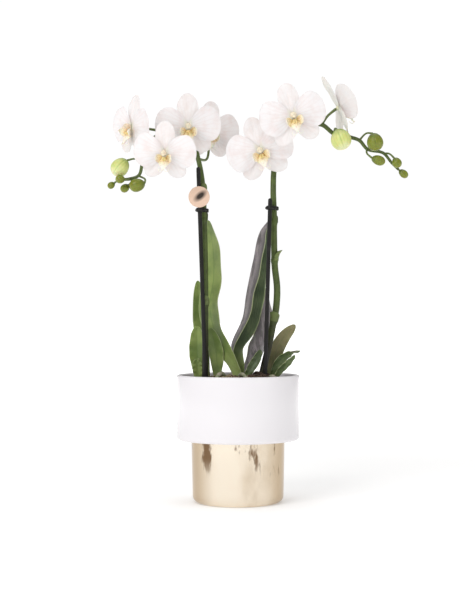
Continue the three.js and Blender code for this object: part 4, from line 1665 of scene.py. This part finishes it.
@dataclass
class Flower:
    """A moth orchid flower in its own frame, whose +Z is its front, then turned and placed."""

    letter: str
    at: Point
    yaw: float
    pitch: float
    roll: float
    scale: float
    stalk: Point
    cup: float = 0.05
    curl: float = 0.0
    elbow: Point | None = None
    bend: float = 0.003
    layer: float = 1.1
    thickness: float = 0.45
    back: float = 4.0

    def placement(self) -> Matrix:
        """Turns the flower by its yaw, pitch and roll and moves it to its place.

        Returns:
            The matrix from the flower's frame to the imported model's, in millimetres.
        """
        yaw = Matrix.Rotation(math.radians(self.yaw), 4, "Z")
        pitch = Matrix.Rotation(math.radians(90 - self.pitch), 4, "X")
        roll = Matrix.Rotation(math.radians(self.roll), 4, "Z")
        return Matrix.Translation(self.at) @ yaw @ pitch @ roll

    def facing(self) -> np.ndarray:
        """Gives the unit vector that the flower faces."""
        return np.array(self.placement().to_3x3().col[2])

    def phase(self) -> float:
        """Gives an angle of the flower's own, so that no two have the same waves."""
        return 1.7 * (ord(self.letter) - ord("a"))

    def petal_lift(self, x: np.ndarray, y: np.ndarray) -> np.ndarray:
        """Gives the petals' surface: forward by x^2 / (|x| + 5), and back by r^2 and by y^2.

        Args:
            x: to the flower's own right.
            y: upwards on the flower.

        Returns:
            How far the surface stands forward.
        """
        side = np.abs(x)
        return self.cup * side**2 / (side + 5) - self.bend * (x**2 + y**2) - self.curl * y**2

    def sepal_lift(self, x: np.ndarray, y: np.ndarray) -> np.ndarray:
        """Gives the sepals' surface, a layer behind the petals, which bends back by r^2.

        Args:
            x: to the flower's own right.
            y: upwards on the flower.

        Returns:
            How far the surface stands forward.
        """
        return -self.layer - (self.bend + 0.001) * (x**2 + y**2)

    def blade(self, kind: Blade, angle: float, lift: Surface, slope: float, ruffle: float) -> Shell:
        """Makes one blade: a disc of rings over its outline, laid on the given surface.

        The outline is an ellipse whose width is multiplied by a power of the distance from the claw. The
        surface adds waves that grow with the cube of the ring's size, and a groove down the middle.

        Args:
            kind: the kind of blade.
            angle: which way it points, in degrees from the flower's right.
            lift: the surface that it lies on.
            slope: how steeply it leans forward, which shortens it.
            ruffle: the height of its waves.

        Returns:
            The closed blade, marked with "along", "fan", "rim" and "underside".
        """
        length = kind.length / math.hypot(1, slope)
        rim = np.sin(np.linspace(0.09, math.pi / 2, 20))[:, None]
        round_angle = np.linspace(0, 2 * math.pi, 72, endpoint=False)[None]
        u = (1 - np.cos(round_angle)) / 2
        phase = self.phase() + angle
        uneven = 1 + 0.035 * np.sin(2 * round_angle + phase) + 0.02 * np.sin(5 * round_angle + 2 * phase)
        outline_along = length * u
        outline_across = kind.half_width * np.sin(round_angle) * u**kind.taper * uneven
        middle = length * 0.5
        along = middle + (outline_along - middle) * rim
        across = outline_across * rim
        turn = math.radians(angle)
        x = self.scale * (along * math.cos(turn) - across * math.sin(turn))
        y = self.scale * (along * math.sin(turn) + across * math.cos(turn))
        waves = np.sin(3 * round_angle + phase) + 0.5 * np.sin(7 * round_angle + 1.7 * phase)
        groove = -0.45 * np.exp(-((across / 1.3) ** 2)) * np.clip(along / length, 0, 1) * (1 - along / length)
        surface = lift(x, y) + ruffle * rim**3 * waves * np.clip(along / (0.5 * length), 0, 1) + 3 * groove
        thick = self.thickness * np.sqrt(1.06 - rim**6) * (1.25 - 0.5 * along / length) + 0 * along
        upper = np.stack([x, y, surface + thick / 2], axis=-1)
        lower = np.stack([x, y, surface - thick / 2], axis=-1)
        rings = np.concatenate([upper, lower[::-1]])
        both = {
            "along": along / length,
            "fan": np.arctan2(across, along + 0.12 * length) / 0.9,
            "rim": rim + 0 * along,
        }
        marks = {name: np.concatenate([value, value[::-1]]) for name, value in both.items()}
        under = np.concatenate([np.zeros_like(along), np.ones_like(along)])
        return closed_skin(rings, upper[0].mean(0), lower[0].mean(0), underside=under, **marks)

    def lobe(self, side: int) -> Shell:
        """Makes one of the lip's side lobes: a small ear that rises forward and curls in over the column.

        It steps aside by a sine of the distance along it and forward in proportion, and its half width is a
        sine that closes at its tip.

        Args:
            side: 1 for the flower's right and -1 for its left.

        Returns:
            The closed lobe.
        """
        a = np.linspace(0.02, 1, 22)[:, None]
        b = np.linspace(-1, 1, 15)[None]
        half = 4.2 * np.sin(math.pi * np.clip(a, 0, 1) ** 0.75 * 0.93 + 0.12)
        x = side * (1.8 + 6.2 * np.sin(1.9 * a) - 0.5 * b**2)
        y = -5.2 + 1.6 * a + half * b
        z = 2.2 + 7.2 * a - 0.6 * b**2
        surface = np.stack([x + 0 * b, y, z + 0 * y], axis=-1) * np.array([self.scale, self.scale, 1])
        throat = 0.95 - 0.75 * a + 0 * b
        return sheet_skin(surface, np.full(y.shape, 0.5), throat=throat, fan=b * 0.8 + 0 * a)

    def midlobe(self) -> Shell:
        """Makes the lip's middle lobe: an arrow-shaped tongue that dips, then lifts at its tip.

        Its half width is a power of a sine, and its height a sine along it, less the square across it.

        Returns:
            The closed lobe.
        """
        a = np.linspace(0.0, 1, 40)[:, None]
        b = np.linspace(-1, 1, 21)[None]
        half = 1.2 + 4.6 * np.sin(math.pi * np.clip(a * 1.02, 0, 1) ** 0.8) ** 1.5 * (1 - 0.35 * a)
        x = half * b
        y = -4.6 - 10.2 * a
        z = 3.0 + 4.6 * np.sin(1.9 * a) - 0.11 * x**2 + 0.35 * np.sin(9 * a) * b**2
        surface = np.stack([x, y + 0 * b, z], axis=-1) * np.array([self.scale, self.scale, 1])
        thick = np.full(x.shape, 0.7)
        return sheet_skin(surface, thick, throat=0.9 - 0.7 * a + 0 * b, fan=b + 0 * a)

    def tendril(self, side: int) -> Shell:
        """Makes one of the two fine tendrils at the lip's tip, which curls out and back.

        Args:
            side: 1 for the flower's right and -1 for its left.

        Returns:
            The tendril.
        """
        points = [(0.2, -14, 7.2), (1.6, -16.2, 8.4), (3.9, -16.8, 7.6), (4.9, -15.2, 6), (4.2, -13.6, 5.2)]
        route = Route([(side * x * self.scale, y * self.scale, z) for x, y, z in points])
        shell = round_tube(route, lambda share: 0.42 - 0.26 * share, 10, 26)
        shell.marks["throat"] = 0.35 - 0.3 * shell.marks["along"]
        return shell

    def callus(self) -> Shell:
        """Makes the two-horned yellow callus between the side lobes.

        Returns:
            Its two horns and their saddle, as balls that meet.
        """
        horns = [egg((side * 1.1, -5.2, 6.0), (0.95, 1.2, 1.9), 14, 9) for side in (-1, 1)]
        saddle = egg((0, -5.0, 4.4), (2.3, 2.2, 1.7), 18, 10)
        callus = joined([*horns, saddle])
        callus.marks["throat"] = np.full(len(callus.points), 1.0)
        callus.points = callus.points * np.array([self.scale, self.scale, 1])
        return callus

    def column(self) -> Shell:
        """Makes the column and the anther cap at its end.

        Returns:
            A tube that swells by a sine along it, with a ball at its end.
        """
        route = Route([(0, 0, 0.6), (0, 0.9, 3.4), (0, 0.9, 6.2), (0, 0.1, 8.4)])
        stem = round_tube(route, lambda share: 1.9 + 0.75 * np.sin(math.pi * share**1.3), 24, 26)
        cap = egg((0, -0.2, 8.3), (1.75, 1.5, 1.15), 20, 10)
        column = joined([stem, cap])
        column.marks["along"] = np.clip(column.points[:, 2] / 8, 0, 1)
        column.points = column.points * np.array([self.scale, self.scale, 1])
        return column

    def build(self) -> None:
        """Makes the flower's sepals, petals, lip and column."""
        where = self.placement()
        name = f"flower_{self.letter}"
        petals = [self.blade(Blade.PETAL, angle, self.petal_lift, self.cup, 0.55) for angle in (6, 174)]
        sepals = [self.blade(Blade.TOP_SEPAL, 90, self.sepal_lift, 0, 0.35)]
        sepals += [self.blade(Blade.SIDE_SEPAL, angle, self.sepal_lift, 0, 0.35) for angle in (-128, -52)]
        hub = egg((0, 0, -1.6), (2.4, 2.4, 1.7), 20, 10)
        tendrils = map(self.tendril, (-1, 1))
        parts = (
            ("petals", joined(petals), PETAL_FINISH, "petal"),
            ("sepals", joined([*sepals, hub]), SEPAL_FINISH, "sepal"),
            ("lip", joined([self.midlobe(), *map(self.lobe, (-1, 1)), *tendrils]), LIP_FINISH, "lip"),
        )
        for part, shell, finish, slot in parts:
            build_piece(f"{name}_{part}_fine", shell.moved(where), finish, slot, f"{name}_{part}")
        build_piece(f"{name}_callus", self.callus().moved(where), LIP_FINISH, "lip")
        build_piece(f"{name}_column", self.column().moved(where), COLUMN_FINISH, "petal")


@dataclass
class Bud:
    """A closed bud: an egg fuller towards its free end, with the seams where its sepals meet."""

    node: str
    at: Point
    length: float
    width: float
    lean: Point
    stalk: Point
    finish: Finish = YOUNG_BUD_FINISH
    seam_depth: float = 0.05

    def direction(self) -> np.ndarray:
        """Gives the unit vector from the stalk to the free end."""
        lean = np.array(self.lean, float)
        return lean / np.linalg.norm(lean)

    def build(self) -> None:
        """Makes the bud: rings of the sine of the polar angle, notched along three seams."""
        polar = np.linspace(0, math.pi, 34)[1:-1, None]
        turn = np.linspace(0, 2 * math.pi, 60, endpoint=False)[None]
        height = -np.cos(polar)
        seam = np.exp(-((np.sin(1.5 * turn + 0.6) / 0.10) ** 2)) * np.sin(polar) ** 0.5
        radius = self.width * np.sin(polar) * (1 + 0.1 * height) * (1 - self.seam_depth * seam)
        radius = radius * (1 + 0.03 * np.sin(2 * turn + self.at[0]))
        level = self.length * height + 0 * turn
        rings = np.stack([radius * np.cos(turn), radius * np.sin(turn), level], axis=-1)
        along = (height + 1) / 2 + 0 * turn
        shell = closed_skin(
            rings,
            np.array([0, 0, -self.length]),
            np.array([0, 0, self.length]),
            along=along,
            turn=turn + 0 * along,
            seam=seam,
        )
        axis = self.direction()
        side = np.cross(axis, [0.0, 1.0, 0.0])
        side /= np.linalg.norm(side)
        frame_axes = np.stack([side, np.cross(axis, side), axis], axis=1)
        shell.points = shell.points @ frame_axes.T + np.array(self.at)
        build_piece(self.node + "_skin", shell, self.finish, "bud", self.node)


@dataclass
class Joint:
    """A node of a spike: where it is along the stem and which way its bract points."""

    share: float
    bract_turn: float
    bract: float = 9.0
    lean: float = 1.5


@dataclass
class Spike:
    """A flower spike: a tapering stem with swollen nodes and bracts, and a stalk to each flower and bud."""

    node: str
    path: list[Point]
    radii: tuple[float, float]
    joints: list[Joint]
    flowers: list[Flower]
    buds: list[Bud]

    def stem_radius(self, share: np.ndarray) -> np.ndarray:
        """Gives the stem's radius: a taper with the square of the height, with a small swelling at each node.

        Args:
            share: the share of the length.

        Returns:
            The radii in millimetres.
        """
        taper = self.radii[0] + (self.radii[1] - self.radii[0]) * share**2
        rings = sum(0.5 * np.exp(-(((share - joint.share) / 0.006) ** 2)) for joint in self.joints)
        return taper + rings

    def bract(self, route: Route, joint: Joint) -> Shell:
        """Makes a bract: a pointed sheath that wraps the stem and leans away from it at its tip.

        Across it a point goes round the stem by up to 115 degrees, less towards the tip, and along it the
        point rises and steps outwards with the square of the height.

        Args:
            route: the stem's line.
            joint: the node that it grows from.

        Returns:
            The closed bract.
        """
        a = np.linspace(0, 1, 24)[:, None]
        b = np.linspace(-1, 1, 17)[None]
        base = joint.share * route.length
        distance = base + joint.bract * a[:, 0]
        centre = route.at(distance)
        heading = route.heading(distance)
        side = np.cross(heading, [0.0, 1.0, 0.0])
        side /= np.linalg.norm(side, axis=-1, keepdims=True)
        up = np.cross(heading, side)
        spread = np.radians(115) * np.sqrt(np.maximum(1 - a**2, 0.004)) * b + math.radians(joint.bract_turn)
        out = self.stem_radius(np.array([joint.share]))[0] + 0.25 + joint.lean * a**2.2
        surface = (
            centre[:, None]
            + (out * np.cos(spread))[..., None] * side[:, None]
            + (out * np.sin(spread))[..., None] * up[:, None]
        )
        ones = np.ones(surface.shape[:2])
        return sheet_skin(surface, 0.35 * ones, pale=0.8 * ones, along=a + 0 * b, turn=spread)

    def stalk_shell(
        self, start: Point, end: np.ndarray, facing: np.ndarray, radius: float, elbow: Point | None = None
    ) -> Shell:
        """Makes a stalk that leaves the stem and comes straight into the back of what it carries.

        Args:
            start: where it leaves the stem.
            end: where it ends.
            facing: which way the thing that it carries faces.
            radius: its radius at its middle.
            elbow: a point that it goes through, if not the usual one.

        Returns:
            The stalk.
        """
        first = np.array(start, float)
        bend = np.array(elbow) if elbow else first + 0.6 * (end - first) - 3 * facing
        route = Route([tuple(first), tuple(bend), tuple(end)])
        shell = round_tube(route, lambda share: radius * (1.15 - 0.25 * np.sin(math.pi * share)), 16, 36)
        shell.marks["pale"] = 0.35 + 0.5 * shell.marks["along"]
        return shell

    def build(self) -> None:
        """Makes the stem with its bracts and stalks."""
        route = Route(self.path)
        stem = round_tube(route, self.stem_radius, 28, 420)
        stem.marks["pale"] = np.clip(stem.marks["along"] - 0.45, 0, 1) * 0.7
        shells = [stem, *(self.bract(route, joint) for joint in self.joints)]
        for flower in self.flowers:
            facing = flower.facing()
            end = np.array(flower.at) - (flower.back - 1.2) * facing
            shells.append(self.stalk_shell(flower.stalk, end, facing, 1.3, flower.elbow))
        for bud in self.buds:
            facing = bud.direction()
            end = np.array(bud.at) - (bud.length - 0.4) * facing
            shells.append(self.stalk_shell(bud.stalk, end, facing, 0.95))
        build_piece(self.node + "_stem", joined(shells), STEM_FINISH, "stem", self.node)


# ----------------------------
# Where each piece of the plant is, in millimetres
# ----------------------------

LEAVES = [
    Leaf(
        "leaf_tall_left", 13, (140, 138), 8,
        [
            (1, 0, 115.5), (-6, 3, 131), (-14, 8, 143), (-23, 13, 160),
            (-27, 15, 182), (-23.4, 15, 208), (-23.6, 14, 234), (-28, 10, 262),
        ],
    ),
    Leaf(
        "leaf_tall_right", 17.5, (-140, -105), 55,
        [
            (2, 14, 115.5), (-5.5, 16, 140), (6.6, 20, 173), (9.1, 21, 191),
            (16, 22, 225), (22.7, 20, 253), (29.3, 16, 262.5),
        ],
        finish=GREY_LEAF_FINISH,
    ),
    Leaf(
        "leaf_curved_right", 12.5, (44, 44), 20,
        [
            (9, 5, 117), (13, 12, 127), (19, 20, 141), (25.6, 26, 154),
            (28, 30, 170), (27, 32, 185), (25.5, 33, 199),
        ],
        finish=GREY_LEAF_FINISH,
    ),
    Leaf("leaf_left_front", 8.4, (172, 176), 20, [(-36, 9, 112), (-38, 9.5, 138), (-38.5, 10, 163)]),
    Leaf(
        "leaf_left_back", 7.6, (172, 184), 20,
        [(-29, 24, 112), (-35.5, 28, 160), (-38.4, 30, 206)],
    ),
    Leaf("leaf_left_inner", 7.6, (188, 180), 22, [(-19.5, 6, 113), (-20.5, 7.5, 138), (-26, 8, 161)]),
    Leaf("leaf_left_small", 5.4, (176, 176), 22, [(-37, 4.6, 111.5), (-37.5, 4.6, 122), (-38.5, 4, 133)]),
    Leaf(
        "leaf_right_olive", 7.2, (186, 172), 16,
        [(29, 9, 112), (34, 10, 135), (42, 9, 151), (53.5, 7, 164)], OLIVE_LEAF_FINISH,
    ),
    Leaf(
        "leaf_right_twisted", 4.4, (150, 215), 14,
        [(30.5, 1, 112), (38.5, -1, 130), (47.5, -2, 137.5), (58, -3, 140)], DARK_LEAF_FINISH,
    ),
    Leaf(
        "leaf_right_low", 3.4, (170, 200), 18,
        [(32.5, -7.5, 111.5), (39, -9, 122), (46, -10, 129), (52.5, -10, 136)], DARK_LEAF_FINISH,
    ),
    Leaf(
        "leaf_centre_short", 4.6, (176, 184), 20,
        [(6, -7, 114), (11.5, -7, 123), (17, -6, 132), (21, -6, 141)],
        finish=DARK_LEAF_FINISH,
    ),
]

ROOTS = [
    AirRoot("air_root_1", 2.1, [(-12, -6, 115.8), (-16, -13, 119), (-19, -22, 116), (-20, -30, 112.6)]),
    AirRoot("air_root_2", 1.9, [(1, -9, 116), (3, -17, 118.8), (6, -25, 117.5), (9, -32, 113.2)]),
    AirRoot("air_root_3", 1.7, [(27, -14, 114.4), (31, -17, 117), (35, -17, 115), (37.5, -16, 111.8)]),
    AirRoot("air_root_4", 1.8, [(-13, 16, 116), (-15, 25, 118), (-13, 32, 114), (-11, 36, 111.6)]),
]

LEFT_FLOWERS = [
    Flower("a", (-98.8, -8, 346.8), -52, -4, -10, 0.98, (-72, 2, 345), cup=0.12),
    Flower("b", (-66.2, -38, 319), -6, -16, -3, 0.93, (-82, 2, 334), elbow=(-74, -16, 325)),
    Flower("c", (-46, -12, 347), 4, -12, 2, 0.99, (-47, 3, 341)),
    Flower("d", (-26.4, 15, 345.6), 18, -14, 0, 0.94, (-37, 1, 318), elbow=(-29, 25, 323)),
]

RIGHT_FLOWERS = [
    Flower("e", (20.3, -10, 325.3), 0, -14, 17, 1.02, (33.5, 2, 312)),
    Flower("f", (50, -27, 354.3), 4, -8, 15, 1.0, (53, 4, 345)),
    Flower("g", (94.4, 0, 366.5), 98, 21, 0, 1.06, (78, 3, 351), cup=0.5, curl=0.008),
]

RIGHT_BUDS = [
    Bud("bud_right_1", (94.5, -15, 334.7), 10, 9.2, (0.35, -0.2, -1), (90, 4, 342.5), BUD_FINISH),
    Bud("bud_right_2", (126.7, -8, 333.2), 8.3, 7.3, (0.2, 0, -1), (113, 1, 336)),
    Bud("bud_right_3", (130, -6, 316.5), 6.6, 4.7, (1, 0, -0.35), (120, 0, 328)),
    Bud("bud_right_4", (147.2, -5, 314.4), 5, 4.4, (0.5, -0.1, -1), (136, 0, 323.5)),
    Bud("bud_right_5", (154, 0, 304.8), 5, 3.6, (0.7, 0, -0.6), (149.6, 0, 308.4)),
]

LEFT_BUDS = [
    Bud("bud_left_1", (-109.3, -5, 310.2), 9.4, 8.2, (-0.6, -0.3, -0.7), (-89, 2, 316), BUD_FINISH),
    Bud("bud_left_2", (-93.3, -8, 293.2), 7.4, 6, (-1, -0.1, -0.25), (-93, 2, 303)),
    Bud("bud_left_3", (-108.5, -13, 298.2), 4.4, 4.1, (-0.9, -0.3, 0.1), (-102, 2, 300)),
    Bud("bud_left_4", (-105, -2, 291.1), 4.6, 3.7, (-0.8, 0, -0.6), (-101, 2, 300)),
    Bud("bud_left_5", (-118.1, 1, 294.1), 3.7, 3.1, (-0.8, 0, -0.6), (-112, 2, 299.5)),
]

SPIKES = [
    Spike(
        "spike_left",
        [
            (-30.5, -1, 112.4), (-30.7, -1, 225), (-31.6, -1, 265), (-32.8, -1, 294), (-37, 1, 318),
            (-43, 3, 336), (-54, 3, 346), (-68, 2, 345), (-82, 2, 334), (-89, 2, 316), (-93, 2, 303),
            (-102, 2, 300), (-113, 2, 299.5),
        ],
        (2.9, 1.3),
        [Joint(0.215, 60), Joint(0.455, -70), Joint(0.525, 80, 12.0)],
        LEFT_FLOWERS,
        LEFT_BUDS,
    ),
    Spike(
        "spike_right",
        [
            (21.2, -1, 113.6), (28, -1, 142), (31.6, -1, 160), (35.3, -1, 179), (36.3, -1, 198),
            (34.2, -1, 218), (33.5, -1, 244), (33.4, -1, 268), (32.8, 0, 290), (34, 3, 312), (38, 4, 329),
            (49, 4, 342), (66, 4, 351), (78, 3, 351), (90, 4, 342.5), (105, 2, 339), (113, 1, 336),
            (120, 0, 328), (136, 0, 323.5), (143, 0, 315), (150, 0, 308),
        ],
        (3.2, 1.2),
        [Joint(0.155, 70), Joint(0.315, 195, 10.0, 4.0), Joint(0.415, -60)],
        RIGHT_FLOWERS,
        RIGHT_BUDS,
    ),
]


# ----------------------------
# Studio
# ----------------------------


@dataclass
class Studio:
    """A plain pale floor, soft lights and the camera."""

    distance: float = 1.15
    eye: float = 0.172
    aside: float = -0.0005
    tilt: float = -0.751
    focal: float = 49.46
    frame_height: float = 24.0
    floor_radius: float = 30.0
    air: Colour = (1.0, 0.99, 0.98)
    air_strength: float = 0.45
    behind: Colour = (1.0, 1.0, 1.0)
    behind_strength: float = 1.02
    aim: Point = (0.0, 0.0, 0.2)

    def camera(self) -> None:
        """Sets the camera in front of the plant, a little below its middle and almost level."""
        data = bpy.data.cameras.new("Studio camera")
        data.sensor_fit = "VERTICAL"
        data.sensor_height = self.frame_height
        data.lens = self.focal
        data.clip_end = 200.0
        camera = bpy.data.objects.new("Studio camera", data)
        camera.location = (self.aside, -self.distance, self.eye)
        camera.rotation_euler = (math.radians(90 - self.tilt), 0.0, 0.0)
        bpy.context.scene.collection.objects.link(camera)
        bpy.context.scene.camera = camera

    def floor(self) -> None:
        """Lays a broad thin disc whose top is at the pot's foot."""
        turn = np.linspace(0, 2 * math.pi, 64, endpoint=False)
        mesh = bpy.data.meshes.new("Studio floor")
        rim = self.floor_radius * np.stack([np.cos(turn), np.sin(turn), 0 * turn], axis=-1)
        mesh.from_pydata(rim.tolist(), [], [list(range(len(turn)))])
        mesh.materials.append(FLOOR_FINISH.material())
        floor = bpy.data.objects.new("Studio floor", mesh)
        bpy.context.scene.collection.objects.link(floor)

    def softbox(self, name: str, at: Point, size: tuple[float, float], watts: float) -> None:
        """Hangs a soft oblong light that points at the middle of the plant.

        Args:
            name: the light's name.
            at: where it hangs, in metres.
            size: its width and height in metres.
            watts: its power.
        """
        data = bpy.data.lights.new(name, "AREA")
        data.shape = "RECTANGLE"
        data.size, data.size_y = size
        data.energy = watts
        light = bpy.data.objects.new(name, data)
        light.location = at
        toward = Matrix.Translation(self.aim).translation - light.location
        light.rotation_euler = toward.to_track_quat("-Z", "Y").to_euler()
        bpy.context.scene.collection.objects.link(light)

    def surroundings(self) -> None:
        """Fills the room with an even pale light, and shows it as white behind the plant."""
        world = bpy.data.worlds.new("Studio air")
        world.use_nodes = True
        tree = world.node_tree
        background = tree.nodes["Background"]
        seen = tree.nodes.new("ShaderNodeBackground")
        graph = Graph(tree)
        graph.wire(background, Color=self.air, Strength=self.air_strength)
        graph.wire(seen, Color=self.behind, Strength=self.behind_strength)
        path = tree.nodes.new("ShaderNodeLightPath")
        blend = tree.nodes.new("ShaderNodeMixShader")
        tree.links.new(path.outputs["Is Camera Ray"], blend.inputs[0])
        tree.links.new(background.outputs[0], blend.inputs[1])
        tree.links.new(seen.outputs[0], blend.inputs[2])
        tree.links.new(blend.outputs[0], tree.nodes["World Output"].inputs["Surface"])
        bpy.context.scene.world = world

    def build(self) -> None:
        """Sets up the camera, the floor and the lights, with no curve on the colours."""
        self.camera()
        self.floor()
        self.surroundings()
        self.softbox("Key light", (-1.15, -1.75, 1.6), (1.2, 1.2), 22.5)
        self.softbox("Fill light", (1.7, -1.5, 0.9), (1.0, 1.4), 3.0)
        self.softbox("Top light", (0.0, 0.3, 2.2), (2.0, 2.0), 12.0)
        bpy.context.scene.view_settings.view_transform = "Standard"


def main() -> None:
    """Builds the studio, the pots, the plant and its trimmings, and logs each piece's point count."""
    logging.basicConfig(level=logging.INFO, format="%(name)s %(message)s")
    Studio().build()
    CoverPot().build()
    NurseryPot().build()
    BarkBed().build()
    left, right = Stake("stake_left", -1), Stake("stake_right", 1)
    for stake in (left, right):
        stake.build()
    Clip("clip_left", left, (-31.8, -1)).build()
    Clip("clip_right", right, (33.3, -1)).build()
    Tag().build(left)
    for part in (*LEAVES, *ROOTS, *LEFT_FLOWERS, *RIGHT_FLOWERS, *LEFT_BUDS, *RIGHT_BUDS, *SPIKES):
        part.build()


if __name__ == "__main__":
    main()
